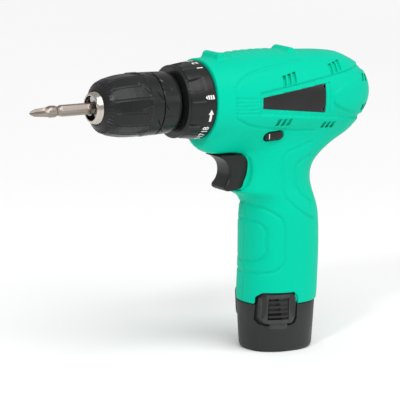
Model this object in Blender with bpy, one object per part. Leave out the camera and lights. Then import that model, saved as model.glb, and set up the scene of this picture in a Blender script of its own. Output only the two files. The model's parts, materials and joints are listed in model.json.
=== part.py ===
"""A cordless drill, standing on its battery.

Metres, +Z up. The origin is the centre of the battery's flat underside. The chuck points along -X
and the spindle's axis runs along X, AXIS_HEIGHT above the origin. Every piece is an object of its own.
"""

import math

import bmesh
import bpy
from mathutils import Matrix, Vector

MM = 0.001

# Overall places
AXIS_HEIGHT = 155 * MM
BIT_TIP_X = -170 * MM
CHUCK_FRONT_X = -130 * MM
COLLAR_FRONT_X = -76 * MM
HOUSING_FRONT_X = -57.5 * MM
HOUSING_REAR_X = 61 * MM
BASE_HEIGHT = 29.2 * MM
CLEARANCE = 0.3 * MM
RUNNING_GAP = 0.4 * MM

# Housing
WALL = 2.4 * MM
BARREL_RADIUS = 24 * MM
BARREL_HALF_WIDTH = 27 * MM
HANDLE_HALF_DEPTH = 24.6 * MM
HANDLE_HALF_WIDTH = 21.5 * MM
NECK_HALF_WIDTH = 18.2 * MM
CHIN_BOTTOM = 121.6 * MM
CHIN_HALF_WIDTH = 15 * MM
LUG_RADIUS = 4 * MM
LUG_HALF_LENGTH = 9.5 * MM
RIB_THICKNESS = 2 * MM
BADGE_THICKNESS = 1 * MM
SCREW_RADIUS = 1.4 * MM
SCREW_HEAD_RADIUS = 2.7 * MM
BOSS_RADIUS = 3.5 * MM

# Gearbox
CASE_RADIUS = 19.6 * MM
CASE_WALL = 1.4 * MM
NOSE_RADIUS = 11 * MM
CASE_REAR_X = -13.6 * MM
MODULE = 0.8 * MM
SUN_TEETH = 9
PLANET_TEETH = 15
RING_TEETH = 39
TOOTH_TOP = 0.8
TOOTH_ROOT = 1.1
BACKLASH = 0.12 * MM
GEAR_WIDTH = 8.5 * MM
RING_GEAR_RADIUS = 17.8 * MM
SPINDLE_RADIUS = 5 * MM
PLANET_PIN_RADIUS = 1.9 * MM
BALL_RADIUS = 2.2 * MM
BALL_COUNT = 3
BUSH_GAP = 0.1 * MM
WASHER_THICKNESS = 1.5 * MM

# Motor
MOTOR_RADIUS = 18.2 * MM
MOTOR_FRONT_X = -13 * MM
MOTOR_LENGTH = 53 * MM
MOTOR_SHAFT_RADIUS = 1.58 * MM

# Chuck
SLEEVE_RADIUS = 18.9 * MM
SLEEVE_WALL = 2.3 * MM
CHUCK_BODY_RADIUS = 12.3 * MM
JAW_RADIUS = 2.9 * MM
JAW_LENGTH = 22 * MM
JAW_ANGLE = math.radians(15)
BIT_FLATS = 6.35 * MM
BIT_LENGTH = 65 * MM

# Torque collar
COLLAR_LENGTH = 18 * MM
COLLAR_FRONT_RADIUS = 21.5 * MM
COLLAR_REAR_RADIUS = 23.2 * MM

# Trigger and switch
TRIGGER_TOP = 120.6 * MM
TRIGGER_BOTTOM = 99 * MM
TRIGGER_HALF_WIDTH = 8 * MM
BUTTON_HEIGHT = 132.2 * MM
BUTTON_X = -15.2 * MM
BUTTON_LENGTH = 12.6 * MM
BUTTON_THICKNESS = 5.2 * MM
BUTTON_HALF_SPAN = 18 * MM

# Battery
CELL_RADIUS = 8.9 * MM
CELL_LENGTH = 65 * MM
CELL_GAP = 0.2 * MM
STICK_WALL = 1.1 * MM
STICK_TOP = 82 * MM
CELL_BOTTOM = 9 * MM
LATCH_BOTTOM = 11 * MM
LATCH_TOP = 36 * MM
LATCH_CENTRE_X = -11.8 * MM
LATCH_LENGTH = 23 * MM
LATCH_INNER_Y = 19.3 * MM

AXIS = Vector((0, 0, AXIS_HEIGHT))
TURNED_STEPS = 24

for leftover in list(bpy.data.objects):
    bpy.data.objects.remove(leftover)


def finish(name, colour, roughness, metallic=0.0):
    """A plain material for one kind of surface."""
    material = bpy.data.materials.new(name)
    material.use_nodes = True
    shader = material.node_tree.nodes["Principled BSDF"]
    shader.inputs["Base Color"].default_value = (*colour, 1)
    shader.inputs["Roughness"].default_value = roughness
    shader.inputs["Metallic"].default_value = metallic
    return material


GREEN = finish("green_plastic", (0.0, 0.68, 0.43), 0.45)
BLACK = finish("black_plastic", (0.03, 0.03, 0.03), 0.4)
BATTERY_GREY = finish("battery_plastic", (0.04, 0.04, 0.04), 0.55)
BADGE_BLACK = finish("badge_film", (0.02, 0.02, 0.02), 0.35)
TRIGGER_BLACK = finish("trigger_plastic", (0.025, 0.03, 0.027), 0.45)
BIT_STEEL = finish("bit_steel", (0.33, 0.28, 0.24), 0.35, 1.0)
NICKEL = finish("nickel", (0.6, 0.56, 0.5), 0.2, 1.0)
STEEL = finish("steel", (0.45, 0.45, 0.46), 0.35, 1.0)
BRASS = finish("brass", (0.7, 0.5, 0.2), 0.3, 1.0)
COPPER = finish("copper", (0.7, 0.35, 0.2), 0.35, 1.0)
CELL_WRAP = finish("cell_wrap", (0.05, 0.15, 0.4), 0.4)
INNER_PLASTIC = finish("inner_plastic", (0.1, 0.1, 0.1), 0.5)
MAGNET = finish("magnet", (0.12, 0.12, 0.12), 0.6)


def add(name, mesh, material=None, origin=(0, 0, 0), guide=False):
    """An object from a bmesh in world coordinates, with its origin at the given point."""
    bmesh.ops.remove_doubles(mesh, verts=mesh.verts, dist=1e-7)
    bmesh.ops.recalc_face_normals(mesh, faces=mesh.faces)
    bmesh.ops.translate(mesh, verts=mesh.verts, vec=-Vector(origin))
    data = bpy.data.meshes.new(name)
    mesh.to_mesh(data)
    mesh.free()
    if material:
        data.materials.append(material)
    obj = bpy.data.objects.new(name, data)
    obj.location = origin
    bpy.context.scene.collection.objects.link(obj)
    if guide:
        obj.hide_render = True
        obj.display_type = "WIRE"
    else:
        data.shade_smooth()
        data.set_sharp_from_angle(angle=math.radians(35))
    return obj


def combine(obj, tool, operation):
    """Adds a Boolean with another object and returns the first one."""
    modifier = obj.modifiers.new(f"{operation}_{tool.name}", "BOOLEAN")
    modifier.operation = operation
    modifier.object = tool
    modifier.solver = "EXACT"
    modifier.use_self = True
    return obj


def turned(profile, steps=TURNED_STEPS, mesh=None, centre=AXIS):
    """A closed outline of (x, radius) points turned about the spindle's axis."""
    mesh = mesh or bmesh.new()
    rings = []
    for x, radius in profile:
        if radius < 1e-9:
            rings.append([mesh.verts.new(centre + Vector((x, 0, 0)))])
            continue
        ring = []
        for k in range(steps):
            angle = 2 * math.pi * k / steps
            place = centre + Vector((x, radius * math.sin(angle), radius * math.cos(angle)))
            ring.append(mesh.verts.new(place))
        rings.append(ring)
    for a, b in zip(rings, rings[1:] + rings[:1]):
        if len(a) == 1 and len(b) == 1:
            continue
        for k in range(steps):
            m = (k + 1) % steps
            corners = [a[k % len(a)], a[m % len(a)], b[m % len(b)], b[k % len(b)]]
            unique = list(dict.fromkeys(corners))
            mesh.faces.new(unique)
    return mesh


def tube(x_front, x_rear, inner, outer, steps=TURNED_STEPS):
    return turned([(x_front, inner), (x_front, outer), (x_rear, outer), (x_rear, inner)], steps)


def disc(x_front, x_rear, radius, steps=TURNED_STEPS):
    return turned([(x_front, 0), (x_front, radius), (x_rear, radius), (x_rear, 0)], steps)


def loft(rings, mesh=None):
    """A closed skin over rings of equally many points, with flat ends."""
    mesh = mesh or bmesh.new()
    rows = [[mesh.verts.new(point) for point in ring] for ring in rings]
    count = len(rows[0])
    for a, b in zip(rows, rows[1:]):
        for k in range(count):
            m = (k + 1) % count
            mesh.faces.new((a[k], a[m], b[m], b[k]))
    mesh.faces.new(rows[0])
    mesh.faces.new(rows[-1])
    return mesh


def prism(outline, low, high, axis="Y", mesh=None):
    """An outline extruded between two values of one axis; its points are in the other two, in X, Y, Z order."""
    place = {
        "X": lambda p, v: Vector((v, p[0], p[1])),
        "Y": lambda p, v: Vector((p[0], v, p[1])),
        "Z": lambda p, v: Vector((p[0], p[1], v)),
    }[axis]
    return loft([[place(p, low) for p in outline], [place(p, high) for p in outline]], mesh)


def box(low, high, mesh=None):
    outline = [(low[0], low[1]), (high[0], low[1]), (high[0], high[1]), (low[0], high[1])]
    return prism(outline, low[2], high[2], "Z", mesh)


def rod(start, end, radius, steps=12, mesh=None):
    """A round bar between two points."""
    start, end = Vector(start), Vector(end)
    turn = (end - start).to_track_quat("Z", "X")
    rings = []
    for centre in (start, end):
        ring = []
        for k in range(steps):
            angle = 2 * math.pi * (k + 0.5) / steps
            ring.append(centre + turn @ Vector((radius * math.cos(angle), radius * math.sin(angle), 0)))
        rings.append(ring)
    return loft(rings, mesh)


def oval(half_a, half_b, power, count, centre=(0, 0)):
    """A superellipse in a plane: power 2 is an ellipse, a higher power is squarer."""
    points = []
    for k in range(count):
        angle = 2 * math.pi * (k + 0.5) / count
        c, s = math.cos(angle), math.sin(angle)
        points.append((
            centre[0] + half_a * math.copysign(abs(c) ** (2 / power), c),
            centre[1] + half_b * math.copysign(abs(s) ** (2 / power), s),
        ))
    return points


def pill(length, thickness, centre, steps=6):
    """A bar with round ends, lying along the first axis."""
    radius = thickness / 2
    points = []
    for side in (1, -1):
        for k in range(steps + 1):
            angle = side * math.pi / 2 - math.pi * k / steps
            points.append((
                centre[0] + side * (length / 2 - radius) + radius * math.cos(angle),
                centre[1] + radius * math.sin(angle),
            ))
    return points


def coil(x_start, x_end, centre, radius, wire, turns, per_turn=12, sides=6):
    """A helical spring along X."""
    rings = []
    for i in range(turns * per_turn + 1):
        angle = 2 * math.pi * i / per_turn
        out = Vector((0, math.sin(angle), math.cos(angle)))
        x = x_start + (x_end - x_start) * i / (turns * per_turn)
        middle = Vector(centre) + Vector((x, 0, 0)) + radius * out
        ring = []
        for k in range(sides):
            side = 2 * math.pi * k / sides
            ring.append(middle + wire * (math.cos(side) * out + Vector((math.sin(side), 0, 0))))
        rings.append(ring)
    return loft(rings)


# ---- Housing: one solid is shaped first, then cut into its left and right shells


BARREL_STATIONS = [  # share of the way from front to rear, height above the axis, depth below it, half width
    (0.000, 0.99, 0.99, 0.885),
    (0.060, 1.00, 1.02, 0.900),
    (0.230, 1.03, 1.08, 0.950),
    (0.480, 1.06, 1.13, 1.000),
    (0.650, 1.06, 1.14, 1.000),
    (0.770, 1.02, 1.10, 0.980),
    (0.870, 0.90, 0.82, 0.860),
    (0.940, 0.66, 0.46, 0.660),
    (0.980, 0.40, 0.24, 0.440),
    (1.000, 0.20, 0.10, 0.240),
]


def barrel(inset=0.0, count=24):
    """The barrel's outside, or a surface that lies inset under it."""
    length = HOUSING_REAR_X - HOUSING_FRONT_X
    rings = []
    for share, up, down, half in BARREL_STATIONS:
        x = HOUSING_FRONT_X + share * length
        x = min(x, HOUSING_REAR_X - inset)
        up = max(up * BARREL_RADIUS - inset, 0.5 * MM)
        down = max(down * BARREL_RADIUS - inset, 0.5 * MM)
        half = max(half * BARREL_HALF_WIDTH - inset, 0.5 * MM)
        ring = []
        for k in range(count):
            angle = 2 * math.pi * (k + 0.5) / count
            height = math.cos(angle) * (up if math.cos(angle) > 0 else down)
            ring.append(AXIS + Vector((x, half * math.sin(angle), height)))
        rings.append(ring)
    return loft(rings)


HANDLE_STATIONS = [  # height, front and rear as shares of the half depth, half width
    (BASE_HEIGHT + RUNNING_GAP, -0.985, 0.985, HANDLE_HALF_WIDTH * 0.995),
    (0.045, -1.00, 1.005, HANDLE_HALF_WIDTH),
    (0.065, -1.00, 1.015, HANDLE_HALF_WIDTH),
    (0.084, -0.99, 0.995, HANDLE_HALF_WIDTH),
    (0.093, -0.99, 0.93, HANDLE_HALF_WIDTH * 0.94),
    (0.101, -0.97, 0.85, HANDLE_HALF_WIDTH * 0.885),
    (0.109, -0.97, 0.82, NECK_HALF_WIDTH),
    (0.117, -1.02, 0.88, NECK_HALF_WIDTH),
    (0.125, -1.12, 1.08, NECK_HALF_WIDTH),
    (0.134, -1.24, 1.30, NECK_HALF_WIDTH * 1.01),
    (0.146, -1.30, 1.38, NECK_HALF_WIDTH),
]


def handle(inset=0.0, count=22):
    """The handle's outside, or a surface inset under it that runs on past both ends."""
    rings = []
    for index, (z, front, rear, half) in enumerate(HANDLE_STATIONS):
        if inset and index == 0:
            z -= 4 * inset
        x_front = front * HANDLE_HALF_DEPTH + inset
        x_rear = rear * HANDLE_HALF_DEPTH - inset
        centre = ((x_front + x_rear) / 2, 0)
        outline = oval((x_rear - x_front) / 2, half - inset, 3.1, count, centre)
        rings.append([Vector((x, y, z)) for x, y in outline])
    return loft(rings)


def chin(inset=0.0):
    """The nose of the handle that reaches forward over the trigger, under the barrel's front."""
    top = AXIS_HEIGHT - 6 * MM
    bottom = CHIN_BOTTOM + inset
    front = HOUSING_FRONT_X + inset
    rear = -10 * MM
    half = CHIN_HALF_WIDTH - inset
    outline = [
        (front, top),
        (front, bottom + 7 * MM),
        (front + 2.5 * MM, bottom + 2.5 * MM),
        (front + 7.5 * MM, bottom),
        (rear, bottom),
        (rear, top),
    ]
    return prism(outline, -half, half, "Y")


LUG_PLACES = [Vector((x, 0, AXIS_HEIGHT + BARREL_RADIUS)) for x in (-46.2 * MM, 3 * MM)]
SCREW_PLACES = {  # place of each housing screw's axis, and how far its ends reach to the right and left
    "screw_top_front": (LUG_PLACES[0], LUG_HALF_LENGTH),
    "screw_top_rear": (LUG_PLACES[1], LUG_HALF_LENGTH),
    "screw_chin": (Vector((-46 * MM, 0, CHIN_BOTTOM + 6.6 * MM)), CHIN_HALF_WIDTH),
    "screw_neck": (Vector((12.5 * MM, 0, 108 * MM)), NECK_HALF_WIDTH * 0.93),
    "screw_rear": (Vector((HOUSING_REAR_X - 11.5 * MM, 0, AXIS_HEIGHT - 2 * MM)), BARREL_HALF_WIDTH * 0.72),
}
HEAD_DEPTH = 2 * MM
HEAD_RECESS = 0.8 * MM


def support_rings():
    """Plates across the hollow, each with a round seat for the gearbox or the motor."""
    places = [
        (-49 * MM, CASE_RADIUS),
        (-31 * MM, CASE_RADIUS),
        (MOTOR_FRONT_X + 12 * MM, MOTOR_RADIUS),
        (MOTOR_FRONT_X + 42 * MM, MOTOR_RADIUS),
    ]
    mesh = bmesh.new()
    for x, radius in places:
        profile_radius = radius + CLEARANCE
        big = 2 * BARREL_RADIUS
        turned(
            [(x, profile_radius), (x, big), (x + RIB_THICKNESS, big), (x + RIB_THICKNESS, profile_radius)],
            mesh=mesh,
        )
    return mesh


def below_the_rings():
    """The space under the round seats, left open for the switch, the button and the motor's leads."""
    reach = 3 * BARREL_HALF_WIDTH
    return box((-reach, -reach, -reach), (reach, reach, AXIS_HEIGHT - 0.72 * BARREL_RADIUS))


BADGE_OUTLINE = [(-24.6, -4.6), (20, -10.1), (20, 7.5), (-24.6, 2.1)]  # millimetres from the axis


def badge_prism(side, grow, name):
    middle_x = sum(p[0] for p in BADGE_OUTLINE) / 4
    middle_z = sum(p[1] for p in BADGE_OUTLINE) / 4
    outline = []
    for x, z in BADGE_OUTLINE:
        x = x * MM + math.copysign(grow, x - middle_x)
        z = z * MM + math.copysign(grow, z - middle_z)
        outline.append((x, AXIS_HEIGHT + z))
    reach = sorted((side * 0.5 * BARREL_HALF_WIDTH, side * 1.5 * BARREL_HALF_WIDTH))
    return add(name, prism(outline, reach[0], reach[1], "Y"), guide=True)


def make_housing():
    """Both shells, cut from one hollow solid."""
    cavity = add("cavity_guide", barrel(WALL), guide=True)
    combine(cavity, add("handle_cavity_guide", handle(WALL), guide=True), "UNION")
    combine(cavity, add("chin_cavity_guide", chin(WALL), guide=True), "UNION")
    rings = add("support_ring_guide", support_rings(), guide=True)
    combine(rings, add("below_rings_guide", below_the_rings(), guide=True), "DIFFERENCE")
    combine(cavity, rings, "DIFFERENCE")
    bosses = bmesh.new()
    holes = bmesh.new()
    for name, (place, reach) in SCREW_PLACES.items():
        radius = BOSS_RADIUS
        across = Vector((0, BARREL_HALF_WIDTH, 0))
        rod(place - across, place + across, radius, 12, bosses)
        head_seat = reach - HEAD_RECESS - HEAD_DEPTH - CLEARANCE
        rod(place + Vector((0, head_seat, 0)), place + 2 * across, SCREW_HEAD_RADIUS + CLEARANCE, 12, holes)
        hole_start = place - Vector((0, reach * 0.7, 0))
        hole_end = place + Vector((0, head_seat + MM, 0))
        rod(hole_start, hole_end, SCREW_RADIUS + CLEARANCE, 10, holes)
    combine(cavity, add("boss_guide", bosses, guide=True), "DIFFERENCE")

    body = add("housing_guide", barrel(), guide=True)
    combine(body, add("handle_guide", handle(), guide=True), "UNION")
    combine(body, add("chin_guide", chin(), guide=True), "UNION")
    for index, place in enumerate(LUG_PLACES):
        across = Vector((0, LUG_HALF_LENGTH, 0))
        lug = add(f"lug_guide_{index}", rod(place - across, place + across, LUG_RADIUS, 16), guide=True)
        combine(body, lug, "UNION")
    combine(body, cavity, "DIFFERENCE")
    combine(body, add("screw_hole_guide", holes, guide=True), "DIFFERENCE")
    mouth = disc(HOUSING_FRONT_X - MM, HOUSING_FRONT_X + 3 * WALL, CASE_RADIUS + CLEARANCE)
    combine(body, add("front_bore_guide", mouth, guide=True), "DIFFERENCE")
    window_side = TRIGGER_HALF_WIDTH + RUNNING_GAP
    window = box(
        (-1.8 * HANDLE_HALF_DEPTH, -window_side, TRIGGER_BOTTOM - RUNNING_GAP),
        (-0.7 * HANDLE_HALF_DEPTH, window_side, TRIGGER_TOP + RUNNING_GAP),
    )
    combine(body, add("trigger_window_guide", window, guide=True), "DIFFERENCE")
    slot_size = (BUTTON_LENGTH + 2 * RUNNING_GAP, BUTTON_THICKNESS + 2 * RUNNING_GAP)
    slot_outline = pill(*slot_size, (BUTTON_X, BUTTON_HEIGHT))
    slot = prism(slot_outline, -BARREL_HALF_WIDTH, BARREL_HALF_WIDTH, "Y")
    combine(body, add("button_slot_guide", slot, guide=True), "DIFFERENCE")
    notch_half = LATCH_LENGTH / 2 + RUNNING_GAP
    notch = box(
        (LATCH_CENTRE_X - notch_half, -1.2 * HANDLE_HALF_WIDTH, 0.5 * BASE_HEIGHT),
        (LATCH_CENTRE_X + notch_half, 1.2 * HANDLE_HALF_WIDTH, LATCH_TOP + 2 * RUNNING_GAP),
    )
    combine(body, add("latch_notch_guide", notch, guide=True), "DIFFERENCE")

    pocket_floor = add("pocket_floor_guide", barrel(BADGE_THICKNESS + 2 * CLEARANCE), guide=True)
    badge_top = add("badge_top_guide", barrel(0.2 * MM), guide=True)
    badge_floor = add("badge_floor_guide", barrel(0.2 * MM + BADGE_THICKNESS), guide=True)
    for side, label in ((-1, "left"), (1, "right")):
        pocket = badge_prism(side, CLEARANCE, f"{label}_badge_pocket_guide")
        combine(pocket, pocket_floor, "DIFFERENCE")
        combine(body, pocket, "DIFFERENCE")
        badge = badge_prism(side, 0, f"{label}_badge")
        badge.hide_render = False
        badge.display_type = "TEXTURED"
        badge.data.materials.append(BADGE_BLACK)
        combine(badge, badge_top, "INTERSECT")
        combine(badge, badge_floor, "DIFFERENCE")

        half = sorted((side * CLEARANCE / 2, side * 2 * BARREL_HALF_WIDTH))
        block = box((2 * HOUSING_FRONT_X, half[0], 0), (2 * HOUSING_REAR_X, half[1], 2 * AXIS_HEIGHT))
        shell = add(f"{label}_housing", block, GREEN)
        combine(shell, body, "INTERSECT")

    for name, (place, reach) in SCREW_PLACES.items():
        head = place + Vector((0, reach - HEAD_RECESS, 0))
        under = head - Vector((0, HEAD_DEPTH, 0))
        tip = place - Vector((0, reach * 0.7 - CLEARANCE, 0))
        mesh = bmesh.new()
        spun = [(0, 0), (0, SCREW_HEAD_RADIUS), (HEAD_DEPTH, SCREW_HEAD_RADIUS), (HEAD_DEPTH, SCREW_RADIUS)]
        spun += [((head - tip).length, SCREW_RADIUS * 0.8), ((head - tip).length, 0)]
        turned(spun, 12, mesh, Vector((0, 0, 0)))
        bmesh.ops.rotate(mesh, verts=mesh.verts, cent=(0, 0, 0), matrix=Matrix.Rotation(-math.pi / 2, 3, "Z"))
        bmesh.ops.translate(mesh, verts=mesh.verts, vec=head)
        add(name, mesh, STEEL, head)


# ---- Gears


def flank_angle(radius, pitch_radius, thickness):
    """Half of a tooth's angle at a radius, on an involute flank."""
    pressure = math.radians(20)
    base = pitch_radius * math.cos(pressure)
    here = math.acos(min(1.0, base / max(radius, base)))
    return thickness / (2 * pitch_radius) + (math.tan(pressure) - pressure) - (math.tan(here) - here)


def gear_outline(teeth, inner, outer, thickness, turn=0.0):
    """Points (y, z) round a gear's teeth, each with straight flanks between two radii."""
    pitch_radius = teeth * MODULE / 2
    points = []
    for k in range(teeth):
        middle = turn + 2 * math.pi * k / teeth
        low = flank_angle(inner, pitch_radius, thickness)
        high = flank_angle(outer, pitch_radius, thickness)
        corners = ((inner, -low), (outer, -high), (outer, high), (inner, low))
        for radius, angle in corners:
            points.append((radius * math.sin(middle + angle), radius * math.cos(middle + angle)))
    return points


def pitch(teeth):
    return teeth * MODULE / 2


def outer_gear_outline(teeth, turn=0.0):
    thickness = math.pi * MODULE / 2 - BACKLASH
    root = pitch(teeth) - TOOTH_ROOT * MODULE
    top = pitch(teeth) + TOOTH_TOP * MODULE
    return gear_outline(teeth, root, top, thickness, turn)


def ring_with_hole(outline, hole, x_front, x_rear, centre):
    """A plate with one outline outside and another inside, each a list of (y, z) points."""
    mesh = bmesh.new()
    sides = []
    for points in (outline, hole):
        rows = []
        for x in (x_front, x_rear):
            rows.append([mesh.verts.new(centre + Vector((x, y, z))) for y, z in points])
        count = len(points)
        for k in range(count):
            m = (k + 1) % count
            mesh.faces.new((rows[0][k], rows[0][m], rows[1][m], rows[1][k]))
        sides.append(rows)
    for end in (0, 1):
        rims = sides[0][end] + sides[1][end]
        edges = {e for v in rims for e in v.link_edges if e.other_vert(v) in rims}
        bmesh.ops.triangle_fill(mesh, edges=list(edges), use_beauty=False)
    return mesh


def circle(radius, steps=TURNED_STEPS, turn=0.0):
    return [
        (radius * math.sin(turn + 2 * math.pi * k / steps), radius * math.cos(turn + 2 * math.pi * k / steps))
        for k in range(steps)
    ]


PLANET_ORBIT = pitch(SUN_TEETH) + pitch(PLANET_TEETH)
PLANET_ANGLES = [2 * math.pi * k / 3 for k in range(3)]
CLUTCH_RING_X = (HOUSING_FRONT_X + 3.5 * MM, HOUSING_FRONT_X + 8.7 * MM + GEAR_WIDTH + 1.6 * MM)
SECOND_CARRIER_X = (CLUTCH_RING_X[0] + 1.6 * MM, CLUTCH_RING_X[0] + 4.4 * MM)
SECOND_PLANET_X = SECOND_CARRIER_X[1] + RUNNING_GAP
FIRST_CARRIER_X = (SECOND_PLANET_X + GEAR_WIDTH + 1.2 * MM, SECOND_PLANET_X + GEAR_WIDTH + 4.2 * MM)
FIRST_PLANET_X = FIRST_CARRIER_X[1] + RUNNING_GAP
FIRST_RING_X = (CLUTCH_RING_X[1] + RUNNING_GAP, FIRST_PLANET_X + GEAR_WIDTH + MM)
BACK_PLATE_X = (FIRST_RING_X[1] + RUNNING_GAP, CASE_REAR_X - 0.6 * MM)
SPINDLE_FRONT_X = CHUCK_FRONT_X + 30.6 * MM
CHUCK_SCREW_RADIUS = 2.3 * MM


def orbit(angle, radius=PLANET_ORBIT):
    return Vector((0, radius * math.sin(angle), radius * math.cos(angle)))


def carrier(name, x_disc, x_pins, material, extra, origin=AXIS):
    """A disc with three planet pins, and whatever shaft or gear belongs to it, as one piece."""
    obj = add(name, disc(x_disc[0], x_disc[1], 13 * MM, 24), material, origin)
    pins = bmesh.new()
    for angle in PLANET_ANGLES:
        ends = [AXIS + orbit(angle) + Vector((x, 0, 0)) for x in x_pins]
        rod(ends[0], ends[1], PLANET_PIN_RADIUS, 10, pins)
    combine(obj, add(f"{name}_pins_guide", pins, guide=True), "UNION")
    combine(obj, add(f"{name}_shaft_guide", extra, guide=True), "UNION")
    return obj


def planets(stage, x_front):
    for index, angle in enumerate(PLANET_ANGLES):
        centre = AXIS + orbit(angle)
        teeth = outer_gear_outline(PLANET_TEETH, angle)
        bore = circle(PLANET_PIN_RADIUS + 0.2 * MM, 10)
        mesh = ring_with_hole(teeth, bore, x_front, x_front + GEAR_WIDTH, centre)
        add(f"{stage}_planet_{index + 1}", mesh, STEEL, centre + Vector((x_front, 0, 0)))


def ring_gear(name, x_range, material):
    thickness = math.pi * MODULE / 2 + BACKLASH
    inner = pitch(RING_TEETH) - TOOTH_TOP * MODULE
    outer = pitch(RING_TEETH) + TOOTH_ROOT * MODULE
    teeth = gear_outline(RING_TEETH, inner, outer, thickness)
    return add(name, ring_with_hole(circle(RING_GEAR_RADIUS), teeth, *x_range, AXIS), material, AXIS)


def make_gearbox():
    front = HOUSING_FRONT_X
    wall_rear = front + 2.7 * MM
    nose_front = COLLAR_FRONT_X - 0.6 * MM
    bush_seat = NOSE_RADIUS - 1.9 * MM
    case = turned([
        (nose_front, bush_seat),
        (nose_front, NOSE_RADIUS),
        (front, NOSE_RADIUS),
        (front, CASE_RADIUS),
        (CASE_REAR_X, CASE_RADIUS),
        (CASE_REAR_X, CASE_RADIUS - CASE_WALL),
        (wall_rear, CASE_RADIUS - CASE_WALL),
        (wall_rear, SPINDLE_RADIUS + RUNNING_GAP),
        (wall_rear - 3 * MM, SPINDLE_RADIUS + RUNNING_GAP),
        (wall_rear - 3 * MM, bush_seat),
    ])
    gearbox_case = add("gearbox_case", case, INNER_PLASTIC, AXIS)
    ball_orbit = (NOSE_RADIUS + CASE_RADIUS - CASE_WALL) / 2
    ball_holes = bmesh.new()
    ball_x = CLUTCH_RING_X[0] - RUNNING_GAP - BALL_RADIUS
    for k in range(BALL_COUNT):
        middle = AXIS + orbit(2 * math.pi * k / BALL_COUNT, ball_orbit)
        ends = [middle + Vector((x, 0, 0)) for x in (front - MM, wall_rear + MM)]
        rod(ends[0], ends[1], BALL_RADIUS + CLEARANCE, 10, ball_holes)
        ball = bmesh.new()
        bmesh.ops.create_uvsphere(ball, u_segments=10, v_segments=6, radius=BALL_RADIUS)
        bmesh.ops.translate(ball, verts=ball.verts, vec=middle + Vector((ball_x, 0, 0)))
        add(f"clutch_ball_{k + 1}", ball, STEEL, middle + Vector((ball_x, 0, 0)))
    combine(gearbox_case, add("ball_hole_guide", ball_holes, guide=True), "DIFFERENCE")

    bush = tube(nose_front + MM, wall_rear - 4 * MM, SPINDLE_RADIUS + BUSH_GAP, bush_seat - CLEARANCE)
    add("front_bush", bush, BRASS, AXIS)
    plate_outer = CASE_RADIUS - CASE_WALL - CLEARANCE
    plate = turned([
        (BACK_PLATE_X[0], 7 * MM),
        (BACK_PLATE_X[0], plate_outer),
        (BACK_PLATE_X[1], plate_outer),
        (BACK_PLATE_X[1], plate_outer - 1.8 * MM),
        (BACK_PLATE_X[0] + 1.6 * MM, plate_outer - 1.8 * MM),
        (BACK_PLATE_X[0] + 1.6 * MM, 7 * MM),
    ])
    add("gearbox_back_plate", plate, INNER_PLASTIC, AXIS)
    ring_gear("clutch_ring_gear", CLUTCH_RING_X, INNER_PLASTIC)
    ring_gear("first_ring_gear", FIRST_RING_X, INNER_PLASTIC)
    planets("second", SECOND_PLANET_X)
    planets("first", FIRST_PLANET_X)

    shaft = turned([
        (SPINDLE_FRONT_X, CHUCK_SCREW_RADIUS + CLEARANCE),
        (SPINDLE_FRONT_X, SPINDLE_RADIUS),
        (SECOND_CARRIER_X[0] + MM, SPINDLE_RADIUS),
        (SECOND_CARRIER_X[0] + MM, 0),
        (SPINDLE_FRONT_X + 14 * MM, 0),
        (SPINDLE_FRONT_X + 14 * MM, CHUCK_SCREW_RADIUS + CLEARANCE),
    ], 24)
    pins = (SECOND_CARRIER_X[1] - MM, SECOND_PLANET_X + GEAR_WIDTH)
    carrier("spindle", SECOND_CARRIER_X, pins, STEEL, shaft)
    sun = outer_gear_outline(SUN_TEETH)
    sun_solid = prism([(y, z + AXIS_HEIGHT) for y, z in sun], SECOND_PLANET_X, FIRST_CARRIER_X[0] + MM, "X")
    pins = (FIRST_CARRIER_X[1] - MM, FIRST_PLANET_X + GEAR_WIDTH)
    carrier("first_carrier", FIRST_CARRIER_X, pins, STEEL, sun_solid)

    washer_x = ball_x - BALL_RADIUS - 0.1 * MM
    washer_front = washer_x - WASHER_THICKNESS
    washer = tube(washer_front, washer_x, NOSE_RADIUS + RUNNING_GAP, CASE_RADIUS - 2.2 * MM)
    add("clutch_washer", washer, STEEL, AXIS)
    nut_front = COLLAR_FRONT_X + 3 * MM
    nut_rear = nut_front + 3 * MM
    nut = tube(nut_front, nut_rear, NOSE_RADIUS + RUNNING_GAP, CASE_RADIUS - 2.4 * MM)
    add("clutch_nut", nut, INNER_PLASTIC, AXIS)
    wire = 1.0 * MM
    spring_front = nut_rear + wire + CLEARANCE
    spring_rear = washer_front - wire - CLEARANCE
    spring = coil(spring_front, spring_rear, AXIS, NOSE_RADIUS + 2.6 * MM, wire, 2, 14)
    add("clutch_spring", spring, STEEL, AXIS)


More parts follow.
